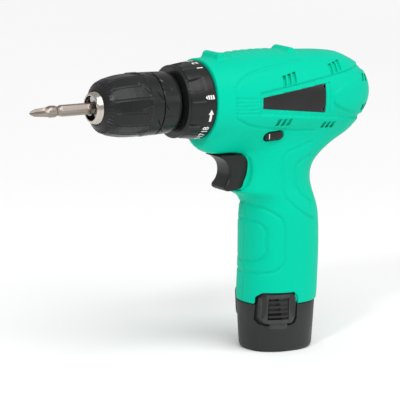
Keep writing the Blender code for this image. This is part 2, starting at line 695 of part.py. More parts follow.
def make_motor():
    front = MOTOR_FRONT_X
    rear = front + MOTOR_LENGTH
    skin = 1.1 * MM
    boss = 6.4 * MM
    hole = MOTOR_SHAFT_RADIUS + CLEARANCE
    add("motor_can", turned([
        (front - 2.6 * MM, hole),
        (front - 2.6 * MM, boss),
        (front, boss),
        (front, MOTOR_RADIUS - 1.5 * MM),
        (front + 1.5 * MM, MOTOR_RADIUS),
        (rear, MOTOR_RADIUS),
        (rear, MOTOR_RADIUS - skin),
        (front + 2 * skin, MOTOR_RADIUS - skin),
        (front + 2 * skin, hole),
    ]), STEEL, AXIS)
    bell = turned([
        (rear + CLEARANCE, hole),
        (rear + CLEARANCE, MOTOR_RADIUS),
        (rear + 2.5 * MM, MOTOR_RADIUS - MM),
        (rear + 2.5 * MM, 6 * MM),
        (rear + 4.5 * MM, 6 * MM),
        (rear + 4.5 * MM, hole),
    ])
    end_bell = add("motor_end_bell", bell, BLACK, AXIS)
    armature = MOTOR_RADIUS - 6 * MM
    commutator = 4.6 * MM
    pinion_front = FIRST_PLANET_X + 0.2 * MM
    rotor = turned([
        (pinion_front + 0.4 * MM, 0),
        (pinion_front + 0.4 * MM, MOTOR_SHAFT_RADIUS),
        (front + 7 * MM, MOTOR_SHAFT_RADIUS),
        (front + 7 * MM, armature),
        (rear - 14 * MM, armature),
        (rear - 14 * MM, commutator),
        (rear - 4 * MM, commutator),
        (rear - 4 * MM, MOTOR_SHAFT_RADIUS),
        (rear + 6 * MM, MOTOR_SHAFT_RADIUS),
        (rear + 6 * MM, 0),
    ], 24)
    add("motor_rotor", rotor, COPPER, AXIS)
    teeth = outer_gear_outline(SUN_TEETH)
    bore = circle(MOTOR_SHAFT_RADIUS + 0.1 * MM, 24)
    pinion = ring_with_hole(teeth, bore, pinion_front, BACK_PLATE_X[0] - RUNNING_GAP, AXIS)
    add("motor_pinion", pinion, STEEL, AXIS)
    for side, label in ((1, "upper"), (-1, "lower")):
        outline = []
        for radius, direction in ((MOTOR_RADIUS - skin - CLEARANCE, 1), (armature + MM, -1)):
            for k in range(9):
                angle = direction * math.radians(-60 + 15 * k)
                outline.append((radius * math.sin(angle), AXIS_HEIGHT + side * radius * math.cos(angle)))
        add(f"{label}_magnet", prism(outline, front + 6 * MM, rear - 13 * MM, "X"), MAGNET)
        inner = commutator + CLEARANCE
        brush_z = sorted((AXIS_HEIGHT + side * inner, AXIS_HEIGHT + side * (inner + 6 * MM)))
        brush = box((rear - 12 * MM, -2 * MM, brush_z[0]), (rear + MM, 2 * MM, brush_z[1]))
        combine(end_bell, add(f"{label}_brush_guide", brush, guide=True), "UNION")


# ---- Chuck and bit


def jaw_axis(x):
    """The point on the first jaw's own slanted axis at a place along the spindle."""
    return Vector((x, 0, AXIS_HEIGHT + 4.3 * MM + (x - CHUCK_FRONT_X - 2 * MM) * math.tan(JAW_ANGLE)))


def about_axis(mesh, angle):
    turn = Matrix.Translation(AXIS) @ Matrix.Rotation(-angle, 4, "X") @ Matrix.Translation(-AXIS)
    bmesh.ops.transform(mesh, verts=mesh.verts, matrix=turn)
    return mesh


def make_chuck():
    front = CHUCK_FRONT_X
    sleeve_rear = front + 39.5 * MM
    rear = front + 50 * MM
    hub = 10 * MM
    bore = BIT_FLATS / 2 / math.cos(math.pi / 6) + 0.5 * MM
    socket = SPINDLE_RADIUS + CLEARANCE
    body = turned([
        (front + 7.2 * MM, bore),
        (front + 7.2 * MM, 9.4 * MM),
        (front + 11 * MM, 9.4 * MM),
        (front + 11 * MM, CHUCK_BODY_RADIUS),
        (front + 33 * MM, CHUCK_BODY_RADIUS),
        (front + 33 * MM, hub),
        (rear - 2 * MM, hub),
        (rear - 2 * MM, socket),
        (front + 30.3 * MM, socket),
        (front + 30.3 * MM, CHUCK_SCREW_RADIUS + CLEARANCE),
        (front + 29.3 * MM, CHUCK_SCREW_RADIUS + CLEARANCE),
        (front + 29.3 * MM, bore),
    ], 24)
    chuck_body = add("chuck_body", body, STEEL, AXIS)
    tunnels = bmesh.new()
    for angle in PLANET_ANGLES:
        tunnel = rod(jaw_axis(front + 2 * MM), jaw_axis(front + 31 * MM), JAW_RADIUS + CLEARANCE, 12)
        about_axis(tunnel, angle)
        data = bpy.data.meshes.new("tunnel")
        tunnel.to_mesh(data)
        tunnel.free()
        tunnels.from_mesh(data)
    combine(chuck_body, add("jaw_tunnel_guide", tunnels, guide=True), "DIFFERENCE")

    grip = BIT_FLATS / 2 + CLEARANCE
    for index, angle in enumerate(PLANET_ANGLES):
        start = jaw_axis(front + 1.6 * MM)
        end = jaw_axis(front + 1.6 * MM + JAW_LENGTH * math.cos(JAW_ANGLE))
        origin = Matrix.Rotation(-angle, 3, "X") @ (start - AXIS) + AXIS
        jaw = add(f"jaw_{index + 1}", about_axis(rod(start, end, JAW_RADIUS, 12), angle), STEEL, origin)
        throat_low = (front - 20 * MM, -20 * MM, AXIS_HEIGHT - 20 * MM)
        throat = box(throat_low, (front + 40 * MM, 20 * MM, AXIS_HEIGHT + grip))
        trim = add(f"jaw_trim_guide_{index + 1}", about_axis(throat, angle), guide=True)
        combine(jaw, trim, "DIFFERENCE")

    nut_front = front + 13.2 * MM
    inner = SLEEVE_RADIUS - SLEEVE_WALL
    add("chuck_nut", tube(nut_front, nut_front + 5 * MM, 13.5 * MM, inner - CLEARANCE), STEEL, AXIS)
    ring_outer = 9.8 * MM
    add("nose_ring", turned([
        (front, 7.3 * MM),
        (front, 8.0 * MM),
        (front + 4 * MM, ring_outer),
        (front + 6.8 * MM, ring_outer),
        (front + 6.8 * MM, 8.8 * MM),
        (front + 3.5 * MM, 8.8 * MM),
    ]), NICKEL, AXIS)
    add("chuck_sleeve", turned([
        (front + 3.6 * MM, ring_outer + CLEARANCE),
        (front + 3.9 * MM, 11.6 * MM),
        (front + 5.4 * MM, 13.9 * MM),
        (front + 8.5 * MM, 16.2 * MM),
        (front + 13 * MM, 17.9 * MM),
        (front + 20 * MM, 18.7 * MM),
        (front + 30 * MM, SLEEVE_RADIUS),
        (sleeve_rear, SLEEVE_RADIUS - 0.3 * MM),
        (sleeve_rear, inner),
        (front + 12.6 * MM, inner),
        (front + 8.6 * MM, 13.6 * MM),
        (front + 6.4 * MM, ring_outer + CLEARANCE),
    ]), BLACK, AXIS)
    add("chuck_rear_sleeve", turned([
        (sleeve_rear + RUNNING_GAP, inner),
        (sleeve_rear + RUNNING_GAP, SLEEVE_RADIUS - 0.4 * MM),
        (rear - MM, SLEEVE_RADIUS - 0.8 * MM),
        (rear, SLEEVE_RADIUS - 1.6 * MM),
        (rear, hub + CLEARANCE),
        (rear - 3 * MM, hub + CLEARANCE),
        (rear - 3 * MM, inner),
    ]), BLACK, AXIS)
    screw_head = front + 25.8 * MM
    add("chuck_screw", turned([
        (screw_head, 0),
        (screw_head, bore - 0.6 * MM),
        (screw_head + 3.2 * MM, bore - 0.6 * MM),
        (screw_head + 3.2 * MM, CHUCK_SCREW_RADIUS),
        (screw_head + 14 * MM, CHUCK_SCREW_RADIUS),
        (screw_head + 14 * MM, 0),
    ], 16), STEEL, AXIS)


def make_bit():
    """A double-ended hexagonal screwdriver bit."""
    hexagon = BIT_FLATS / 2 / math.cos(math.pi / 6)
    half = BIT_LENGTH / 2
    stations = [  # distance from the tip, radius, whether the section is the hexagon
        (0, 0.7 * MM, False),
        (3.2 * MM, 2.3 * MM, False),
        (11.5 * MM, 2.9 * MM, False),
        (12.5 * MM, 3.4 * MM, False),
        (16 * MM, 3.4 * MM, False),
        (17.2 * MM, 2.6 * MM, False),
        (18.5 * MM, 2.6 * MM, False),
        (21 * MM, hexagon, True),
    ]
    both = stations + [(BIT_LENGTH - d, r, h) for d, r, h in reversed(stations)]
    rings = []
    for distance, radius, is_hexagon in both:
        ring = []
        for k in range(12):
            share = math.cos(math.pi / 6) if is_hexagon and k % 2 == 0 else 1
            angle = 2 * math.pi * k / 12
            out = Vector((0, math.sin(angle), math.cos(angle)))
            ring.append(AXIS + Vector((BIT_TIP_X + distance, 0, 0)) + radius * share * out)
        rings.append(ring)
    add("screwdriver_bit", loft(rings), BIT_STEEL, AXIS + Vector((BIT_TIP_X + half, 0, 0)))


def make_torque_collar():
    front = COLLAR_FRONT_X
    rear = front + COLLAR_LENGTH
    inner = CASE_RADIUS - 1.6 * MM
    add("torque_collar", turned([
        (front, NOSE_RADIUS + RUNNING_GAP),
        (front, COLLAR_FRONT_RADIUS - MM),
        (front + MM, COLLAR_FRONT_RADIUS),
        (front + 8 * MM, COLLAR_FRONT_RADIUS + 0.4 * MM),
        (rear - 6 * MM, COLLAR_REAR_RADIUS),
        (rear, COLLAR_REAR_RADIUS),
        (rear, inner),
        (front + 2 * MM, inner),
        (front + 2 * MM, NOSE_RADIUS + RUNNING_GAP),
    ]), BLACK, AXIS)


# ---- Trigger, switch and wiring


SWITCH_FRONT_X = -19.5 * MM
SWITCH_REAR_X = 4 * MM
TRIGGER_REAR_X = SWITCH_FRONT_X - 6.8 * MM
TRIGGER_HEIGHT = (TRIGGER_TOP + TRIGGER_BOTTOM) / 2
PLUNGER_RADIUS = 2 * MM


def make_trigger():
    depth = 12.5 * MM
    front = TRIGGER_REAR_X - depth
    height = TRIGGER_TOP - TRIGGER_BOTTOM
    outline = [
        (front - 2.6 * MM, TRIGGER_TOP),
        (front - 1.6 * MM, TRIGGER_TOP - 0.12 * height),
        (front, TRIGGER_TOP - 0.34 * height),
        (front + 0.4 * MM, TRIGGER_TOP - 0.55 * height),
        (front - 0.6 * MM, TRIGGER_TOP - 0.78 * height),
        (front - 1.8 * MM, TRIGGER_BOTTOM + 1.5 * MM),
        (front + 0.5 * MM, TRIGGER_BOTTOM),
        (TRIGGER_REAR_X - 2 * MM, TRIGGER_BOTTOM),
        (TRIGGER_REAR_X, TRIGGER_BOTTOM + 2 * MM),
        (TRIGGER_REAR_X, TRIGGER_TOP),
    ]
    origin = Vector((TRIGGER_REAR_X, 0, TRIGGER_HEIGHT))
    grip = prism(outline, -TRIGGER_HALF_WIDTH, TRIGGER_HALF_WIDTH, "Y")
    trigger = add("trigger", grip, TRIGGER_BLACK, origin)
    soften = trigger.modifiers.new("soften", "BEVEL")
    soften.width = 1.2 * MM
    soften.segments = 2
    soften.limit_method = "ANGLE"
    plunger_front = (TRIGGER_REAR_X - 3 * MM, 0, TRIGGER_HEIGHT)
    plunger = rod(plunger_front, (SWITCH_FRONT_X + 5 * MM, 0, TRIGGER_HEIGHT), PLUNGER_RADIUS)
    combine(trigger, add("plunger_guide", plunger, guide=True), "UNION")

    body = box((SWITCH_FRONT_X, -9 * MM, TRIGGER_BOTTOM), (SWITCH_REAR_X, 9 * MM, TRIGGER_TOP + 2 * MM))
    switch = add("switch_body", body, BLACK)
    hole_front = (SWITCH_FRONT_X - MM, 0, TRIGGER_HEIGHT)
    hole_rear = (SWITCH_FRONT_X + 13 * MM, 0, TRIGGER_HEIGHT)
    hole = rod(hole_front, hole_rear, PLUNGER_RADIUS + 0.6 * MM)
    combine(switch, add("plunger_hole_guide", hole, guide=True), "DIFFERENCE")
    wire = 0.35 * MM
    spring_gap = 2 * wire
    centre = (0, 0, TRIGGER_HEIGHT)
    spring = coil(TRIGGER_REAR_X + spring_gap, SWITCH_FRONT_X - spring_gap, centre, 3.6 * MM, wire, 4, 8, 5)
    add("trigger_spring", spring, STEEL)

    outline = pill(BUTTON_LENGTH, BUTTON_THICKNESS, (BUTTON_X, BUTTON_HEIGHT))
    button = add(
        "direction_button",
        prism(outline, -BUTTON_HALF_SPAN, BUTTON_HALF_SPAN, "Y"),
        TRIGGER_BLACK,
        (BUTTON_X, 0, BUTTON_HEIGHT),
    )
    tab_bottom = TRIGGER_TOP + 2 * MM + RUNNING_GAP
    tab = box(
        (BUTTON_X - 1.5 * MM, -1.5 * MM, tab_bottom),
        (BUTTON_X + 1.5 * MM, 1.5 * MM, BUTTON_HEIGHT),
    )
    combine(button, add("button_tab_guide", tab, guide=True), "UNION")


TERMINAL_BOTTOM = STICK_TOP + 6 * MM
TERMINAL_HEIGHT = 6 * MM
CLIP_HALF_WIDTH = 2.5 * MM


def make_wiring():
    low = (-11 * MM, -9 * MM, TERMINAL_BOTTOM)
    high = (11 * MM, 9 * MM, TERMINAL_BOTTOM + TERMINAL_HEIGHT)
    block = add("terminal_block", box(low, high), BLACK)
    for side, label in ((-1, "negative"), (1, "positive")):
        x = side * 6 * MM
        clip_low = (x - CLIP_HALF_WIDTH, 0.4 * MM, STICK_TOP + 1.2 * MM)
        clip = box(clip_low, (x + CLIP_HALF_WIDTH, 1.4 * MM, TERMINAL_BOTTOM + MM))
        combine(block, add(f"{label}_clip_guide", clip, guide=True), "UNION")
        start = Vector((SWITCH_REAR_X + CLEARANCE, side * 4 * MM, TRIGGER_TOP - 2 * MM))
        lead_rear = MOTOR_FRONT_X + MOTOR_LENGTH - 2 * MM
        under_motor = AXIS_HEIGHT - MOTOR_RADIUS - 1.6 * MM
        points = [
            start,
            start + Vector((3 * MM, 0, 0)),
            start + Vector((6 * MM, side * 2 * MM, 3 * MM)),
            Vector((15 * MM, side * 8.5 * MM, under_motor - 2 * MM)),
            Vector((28 * MM, side * 8.5 * MM, under_motor)),
            Vector((lead_rear, side * 8.5 * MM, under_motor + 2 * MM)),
        ]
        wire = bpy.data.curves.new(f"{label}_motor_lead", "CURVE")
        wire.dimensions = "3D"
        wire.bevel_depth = 0.8 * MM
        wire.bevel_resolution = 1
        wire.use_fill_caps = True
        spline = wire.splines.new("POLY")
        spline.points.add(len(points) - 1)
        for point, place in zip(spline.points, points):
            point.co = (*place, 1)
        wire.materials.append(BRASS if side > 0 else BLACK)
        bpy.context.scene.collection.objects.link(bpy.data.objects.new(f"{label}_motor_lead", wire))


# ---- Battery


def rounded(half_x, half_y, corner, steps=4):
    """A rectangle with round corners, as (x, y) points."""
    points = []
    for cx, cy, start in ((1, 1, 0), (-1, 1, 90), (-1, -1, 180), (1, -1, 270)):
        for k in range(steps + 1):
            angle = math.radians(start + 90 * k / steps)
            points.append((
                cx * (half_x - corner) + corner * math.cos(angle),
                cy * (half_y - corner) + corner * math.sin(angle),
            ))
    return points


CELL_STEP = CELL_RADIUS + CELL_GAP / 2
CELL_ROW = CELL_STEP * math.sqrt(3) / 2
PACK_HALF_X = CELL_STEP + CELL_RADIUS + CLEARANCE
PACK_HALF_Y = CELL_ROW + CELL_RADIUS + CLEARANCE
STICK_HALF_X = PACK_HALF_X + STICK_WALL
STICK_HALF_Y = PACK_HALF_Y + STICK_WALL
STICK_BOTTOM = BASE_HEIGHT - 5 * MM


BASE_STATIONS = [  # height, and half depth and half width as shares of the handle's
    (0, 0.925, 0.90),
    (0.8 * MM, 0.945, 0.93),
    (3 * MM, 0.955, 0.95),
    (12 * MM, 0.97, 0.97),
    (BASE_HEIGHT, 0.99, 0.995),
]


def base_solid(inset=0.0):
    """The oval foot of the battery, with a slightly rolled lower edge."""
    rings = []
    for z, along, across in BASE_STATIONS:
        outline = oval(HANDLE_HALF_DEPTH * along - inset, HANDLE_HALF_WIDTH * across - inset, 3.1, 28)
        rings.append([Vector((x, y, z)) for x, y in outline])
    return loft(rings)


def make_battery():
    base = add("battery_base", base_solid(), BATTERY_GREY)
    floor = 3 * MM
    well = prism(rounded(PACK_HALF_X, PACK_HALF_Y, CELL_RADIUS), floor, STICK_TOP, "Z")
    combine(base, add("cell_well_guide", well, guide=True), "DIFFERENCE")
    outline = rounded(STICK_HALF_X + CLEARANCE, STICK_HALF_Y + CLEARANCE, CELL_RADIUS + STICK_WALL)
    seat = prism(outline, STICK_BOTTOM - CLEARANCE, STICK_TOP, "Z")
    combine(base, add("stick_seat_guide", seat, guide=True), "DIFFERENCE")
    x_low = LATCH_CENTRE_X - LATCH_LENGTH / 2
    x_high = LATCH_CENTRE_X + LATCH_LENGTH / 2
    travel = 1.5 * MM
    latch_skin = add("latch_skin_guide", base_solid(0.1 * MM), guide=True)
    for side, label in ((-1, "left"), (1, "right")):
        near = LATCH_INNER_Y - travel + 0.6 * MM
        far = 2 * HANDLE_HALF_WIDTH
        span = sorted((side * near, side * far))
        pocket_low = (x_low - RUNNING_GAP, span[0], LATCH_BOTTOM - RUNNING_GAP)
        pocket = box(pocket_low, (x_high + RUNNING_GAP, span[1], 2 * BASE_HEIGHT))
        combine(base, add(f"{label}_latch_pocket_guide", pocket, guide=True), "DIFFERENCE")
        span = sorted((side * LATCH_INNER_Y, side * far))
        plate = box((x_low, span[0], LATCH_BOTTOM), (x_high, span[1], BASE_HEIGHT - 0.1 * MM))
        hinge = (LATCH_CENTRE_X, side * LATCH_INNER_Y, LATCH_BOTTOM + MM)
        latch = add(f"{label}_latch", plate, BATTERY_GREY, hinge)
        combine(latch, latch_skin, "INTERSECT")
        hook_span = sorted((side * LATCH_INNER_Y, side * (LATCH_INNER_Y + 1.5 * MM)))
        hook_low = (x_low + 2 * MM, hook_span[0], BASE_HEIGHT - 2 * MM)
        hook = box(hook_low, (x_high - 2 * MM, hook_span[1], LATCH_TOP))
        combine(latch, add(f"{label}_hook_guide", hook, guide=True), "UNION")

    outline = rounded(STICK_HALF_X, STICK_HALF_Y, CELL_RADIUS + STICK_WALL)
    stick = add("battery_stick", prism(outline, STICK_BOTTOM, STICK_TOP, "Z"), BATTERY_GREY)
    hollow = prism(rounded(PACK_HALF_X, PACK_HALF_Y, CELL_RADIUS), STICK_BOTTOM - MM, STICK_TOP - 2 * MM, "Z")
    combine(stick, add("stick_hollow_guide", hollow, guide=True), "DIFFERENCE")
    for x in (-6 * MM, 6 * MM):
        post_low = (x - CLIP_HALF_WIDTH, -1.4 * MM, STICK_TOP - MM)
        post = box(post_low, (x + CLIP_HALF_WIDTH, -0.2 * MM, STICK_TOP + 5 * MM))
        combine(stick, add(f"contact_post_guide_{x > 0}", post, guide=True), "UNION")
    places = [(-CELL_STEP, -CELL_ROW), (CELL_STEP, -CELL_ROW), (0, CELL_ROW)]
    for index, (x, y) in enumerate(places):
        cell = rod((x, y, CELL_BOTTOM), (x, y, CELL_BOTTOM + CELL_LENGTH), CELL_RADIUS, 20)
        add(f"cell_{index + 1}", cell, CELL_WRAP, (x, y, CELL_BOTTOM))


make_housing()
make_gearbox()
make_motor()
make_chuck()
make_bit()
make_torque_collar()
make_trigger()
make_wiring()
make_battery()
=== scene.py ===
# %% [markdown]
# # A cordless drill driver, piece by piece
#
# This script is a lesson in cells. Each cell makes one thing, prints what it made, and says before it
# what the piece is on the real tool, how it could be made, and why it is made this way here.
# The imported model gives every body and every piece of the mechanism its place. This script adds the
# looks: the moulded shells, the chuck, the collar, the grips, and the finishes of all the pieces.
# Lengths in the helpers are millimetres, and each mesh is scaled to metres when it is made.

import json
import math

import bmesh
import bpy
import numpy as np
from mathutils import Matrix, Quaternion, Vector


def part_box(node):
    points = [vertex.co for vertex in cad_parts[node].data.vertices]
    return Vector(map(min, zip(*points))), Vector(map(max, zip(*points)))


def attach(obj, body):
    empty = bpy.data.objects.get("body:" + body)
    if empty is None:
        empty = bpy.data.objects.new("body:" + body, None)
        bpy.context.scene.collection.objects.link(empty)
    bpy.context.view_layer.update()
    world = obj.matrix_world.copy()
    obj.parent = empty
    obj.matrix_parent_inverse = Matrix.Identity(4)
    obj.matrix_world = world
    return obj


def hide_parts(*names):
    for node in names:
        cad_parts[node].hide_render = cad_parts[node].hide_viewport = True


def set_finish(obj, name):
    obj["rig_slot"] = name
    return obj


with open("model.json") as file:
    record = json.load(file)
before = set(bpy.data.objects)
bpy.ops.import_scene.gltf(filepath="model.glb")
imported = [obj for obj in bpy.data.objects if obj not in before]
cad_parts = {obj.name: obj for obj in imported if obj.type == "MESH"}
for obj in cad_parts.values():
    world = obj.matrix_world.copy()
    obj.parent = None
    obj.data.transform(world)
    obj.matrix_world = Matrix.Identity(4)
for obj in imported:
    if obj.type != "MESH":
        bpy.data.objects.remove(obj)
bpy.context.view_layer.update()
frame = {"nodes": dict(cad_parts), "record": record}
nodes = frame["nodes"]
MM = 0.001
AXIS_Z = 155.0

# %% [markdown]
# ## Helpers
#
# A lathe makes everything that was turned or moulded round an axis, a loft makes what has one section
# after another, and a field of distances makes the free-form shells. All three end in `piece`, which
# turns points and faces into an object at the origin, unturned and unscaled.

# %% Helpers: from points to pieces


def piece(name, points, faces, body=None, smooth=True):
    """A mesh object from points in millimetres, facing out, riding on a body if one is given."""
    data = bpy.data.meshes.new(name)
    data.from_pydata([tuple(p) for p in np.asarray(points, float) * MM], [],
                     [list(map(int, f)) for f in faces])
    tidy_normals(data)
    obj = bpy.data.objects.new(name, data)
    bpy.context.scene.collection.objects.link(obj)
    if smooth:
        shade(obj)
    if body:
        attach(obj, body)
    return obj


def tidy_normals(data):
    mesh = bmesh.new()
    mesh.from_mesh(data)
    bmesh.ops.remove_doubles(mesh, verts=mesh.verts, dist=2e-6)
    bmesh.ops.recalc_face_normals(mesh, faces=mesh.faces)
    mesh.to_mesh(data)
    mesh.free()


def shade(obj, angle=32):
    """Smooth shading that keeps the edges sharper than this angle, in degrees."""
    data = obj.data
    data.polygons.foreach_set("use_smooth", [True] * len(data.polygons))
    data.set_sharp_from_angle(angle=math.radians(angle))


def baked(obj):
    """The object with its modifiers applied."""
    graph = bpy.context.evaluated_depsgraph_get()
    data = bpy.data.meshes.new_from_object(obj.evaluated_get(graph))
    obj.modifiers.clear()
    obj.data = data
    return obj


def boolean(obj, tool, operation, solver="MANIFOLD"):
    """Cuts obj with the tool, or joins or keeps what both hold, and removes the tool."""
    modifier = obj.modifiers.new("cut", "BOOLEAN")
    modifier.operation = operation
    modifier.object = tool
    modifier.solver = solver
    baked(obj)
    bpy.data.objects.remove(tool)
    return obj

# %% [markdown]
# A surface is a grid of points, closed round its rings or left open. A loft caps the first and the last
# ring, and a profile turned through a whole circle closes on itself and needs no caps.

# %% Grids and lofts


def grid_faces(rows, columns, wrap=True):
    """Quads over a grid of points stored row by row, closed round the columns if wrap is set."""
    r = np.arange(rows - 1)[:, None]
    c = np.arange(columns if wrap else columns - 1)[None, :]
    here = r * columns + c
    there = r * columns + (c + 1) % columns
    return np.stack([here, there, there + columns, here + columns], -1).reshape(-1, 4)


def loft(rings, closed_ring=False):
    """Points and faces through equal rings, with flat ends, or joined end to end."""
    rings = np.asarray(rings, float)
    rows, columns = rings.shape[:2]
    points = rings.reshape(-1, 3)
    faces = grid_faces(rows, columns).tolist()
    if closed_ring:
        last = (rows - 1) * columns
        for c in range(columns):
            d = (c + 1) % columns
            faces.append([last + c, last + d, d, c])
    else:
        faces.append(list(range(columns)))
        faces.append([(rows - 1) * columns + c for c in range(columns)][::-1])
    return points, faces

# %% [markdown]
# Outlines and depths on a moulding never start sharply. `ease` gives a soft step from 0 to 1, and the two
# blends join distances with a fillet of a given reach, as a mould maker's ball cutter would.

# %% Soft steps, splines and distances to lines


def ease(t):
    t = np.clip(t, 0, 1)
    return t * t * (3 - 2 * t)


def spline(x, knots, values):
    """A smooth curve through the knots, held level past both ends."""
    knots, values = np.asarray(knots, float), np.asarray(values, float)
    slopes = np.gradient(values, knots)
    x = np.clip(x, knots[0], knots[-1])
    i = np.clip(np.searchsorted(knots, x) - 1, 0, len(knots) - 2)
    h = knots[i + 1] - knots[i]
    t = (x - knots[i]) / h
    a = values[i] * (1 + 2 * t) * (1 - t) ** 2 + values[i + 1] * t * t * (3 - 2 * t)
    return a + h * (slopes[i] * t * (1 - t) ** 2 - slopes[i + 1] * t * t * (1 - t))


def blend_min(a, b, reach):
    """The nearer of two distances, rounded over where they are alike."""
    share = np.clip(0.5 + 0.5 * (b - a) / reach, 0, 1)
    return b * (1 - share) + a * share - reach * share * (1 - share)


def blend_max(a, b, reach):
    return -blend_min(-a, -b, reach)


def to_lines(x, z, lines):
    """Distance in the side view from each point to the nearest of some polylines."""
    best = np.full(np.shape(x), 1e9)
    for line in lines:
        for (x0, z0), (x1, z1) in zip(line, line[1:]):
            dx, dz = x1 - x0, z1 - z0
            t = np.clip(((x - x0) * dx + (z - z0) * dz) / (dx * dx + dz * dz), 0, 1)
            best = np.minimum(best, np.hypot(x - x0 - t * dx, z - z0 - t * dz))
    return best


def inside(x, z, outline):
    """Signed distance to a convex outline given clockwise seen from -Y: negative inside."""
    middle = np.mean(outline, axis=0)
    worst = np.full(np.shape(x), -1e9)
    for (x0, z0), (x1, z1) in zip(outline, outline[1:] + outline[:1]):
        nx, nz = z1 - z0, x0 - x1
        length = math.hypot(nx, nz)
        if (middle[0] - x0) * nx + (middle[1] - z0) * nz > 0:
            nx, nz = -nx, -nz
        worst = np.maximum(worst, ((x - x0) * nx + (z - z0) * nz) / length)
    return worst


def curve_line(points, count=24):
    """A smooth line through a few points."""
    points = np.asarray(points, float)
    along = np.concatenate([[0], np.cumsum(np.hypot(*np.diff(points, axis=0).T))])
    t = np.linspace(0, along[-1], count)
    return list(zip(spline(t, along, points[:, 0]), spline(t, along, points[:, 1])))


print("helpers ready")

# %% [markdown]
# ## The moulded body as a field of distances
#
# The real body is one flowing shape: a barrel for the motor, a neck, a handle and a nose over the
# trigger, all blended. Lofts joined by Booleans would leave creases where they meet. A subdivision
# cage would take long to tune. A function that gives each point its distance from the skin lets the
# parts melt together over a chosen reach, and the same function makes the hollow inside, the badge
# and the grooves, so everything fits.

# %% The body's shape

FRONT_X = -57.5
REAR_X = 61.4
SPLIT_Z = 29.6
#            x     centre  half height  half width
BARREL = [(-60.0, 0.0, 24.2, 24.2),
          (-50.0, 0.0, 24.6, 24.9),
          (-43.0, 0.1, 25.4, 25.7),
          (-30.0, 0.2, 26.4, 26.6),
          (-1.0, -0.3, 26.8, 27.0),
          (14.0, -1.0, 26.5, 26.9),
          (31.5, -0.9, 25.1, 25.6),
          (39.0, -1.2, 24.2, 24.2),
          (45.5, -1.4, 21.6, 22.0),
          (50.3, -1.0, 18.6, 19.4),
          (54.8, -0.7, 14.3, 15.8),
          (58.2, -1.3, 9.5, 11.6),
          (60.6, -1.5, 4.7, 6.8)]
#            z     front   rear  half width
HANDLE = [(27.0, -23.9, 24.0, 21.2),
          (33.0, -24.3, 24.6, 21.5),
          (45.0, -23.9, 25.1, 21.6),
          (58.0, -23.6, 25.5, 21.6),
          (70.0, -23.6, 25.5, 21.6),
          (78.0, -23.6, 25.1, 21.5),
          (85.0, -23.1, 24.4, 21.0),
          (90.0, -23.2, 23.1, 20.3),
          (94.0, -25.8, 21.9, 19.6),
          (98.0, -32.2, 20.9, 18.9),
          (103.0, -31.6, 20.0, 18.3),
          (109.0, -29.2, 20.4, 18.0),
          (114.0, -28.4, 22.8, 18.0),
          (119.0, -28.2, 28.0, 18.2),
          (125.0, -28.2, 36.5, 18.4),
          (131.0, -29.5, 44.5, 18.0),
          (138.0, -31.0, 48.5, 17.0),
          (150.0, -32.0, 46.0, 15.0)]

# %% [markdown]
# Each part of the body is a distance that is negative inside. The barrel and the handle are rounded
# squares whose size follows the stations; the chin above the trigger is a flatter block. The blends
# between them are the large soft fillets of the real moulding.

# %% The body as four distances


def barrel_field(x, y, z):
    knots = [s[0] for s in BARREL]
    centre = spline(x, knots, [s[1] for s in BARREL])
    square = spline(x, knots, [s[2] ** 2 for s in BARREL])
    end_slope = (BARREL[-1][2] ** 2 - BARREL[-2][2] ** 2) / (BARREL[-1][0] - BARREL[-2][0])
    square = square + np.where(x > knots[-1], (x - knots[-1]) * end_slope, 0)
    wide = spline(x, knots, [s[3] / s[2] for s in BARREL])
    power = 2.25
    reach = (np.abs(y / wide) ** power + np.abs(z - AXIS_Z - centre) ** power) ** (2 / power)
    return (reach - square) / (2 * np.sqrt(np.maximum(square, 30)))


def handle_field(x, y, z):
    knots = [s[0] for s in HANDLE]
    front = spline(z, knots, [s[1] for s in HANDLE])
    rear = spline(z, knots, [s[2] for s in HANDLE])
    half = spline(z, knots, [s[3] for s in HANDLE])
    depth = (rear - front) / 2
    power = 2.25
    share = (np.abs((x - (front + rear) / 2) / depth) ** power + np.abs(y / half) ** power) ** (1 / power)
    return blend_max((share - 1) * (depth + half) / 2, z - 150, 2)


def chin_field(x, y, z):
    across = (np.abs((x + 30) / 29) ** 5 + np.abs((z - 146) / 24.3) ** 5) ** 0.4
    return (np.sqrt(across + (np.abs(y) / 18.0) ** 2.5) - 1) * 17


def lug_field(x, y, z, place, height):
    """A short round bar across the top, which a housing screw passes through."""
    across = np.hypot(x - place, z - height)
    return blend_max(across - 2.9, np.abs(y) - 9.0, 1.2)


def plain_body(x, y, z):
    """Distance outside the body before any relief."""
    d = blend_min(barrel_field(x, y, z), handle_field(x, y, z), 9)
    d = blend_min(d, chin_field(x, y, z), 7)
    d = blend_min(d, lug_field(x, y, z, -46.2, 179.9), 1.8)
    return blend_min(d, lug_field(x, y, z, 3.0, 180.3), 1.8)


def trimmed(d, x, z):
    """The body with its flat front ring and its flat underside."""
    d = blend_max(d, FRONT_X - x, 1.0)
    return blend_max(d, SPLIT_Z - z, 0.8)

# %% [markdown]
# The shells carry shallow moulded lines: a side panel with five ribs in front of the badge, a sunk band
# behind it, a raised drop at the rear cap, grip lines on the handle and small waves on top. On the real
# tool they are milled into the mould. Here they raise or lower the distance, so the edges stay soft.

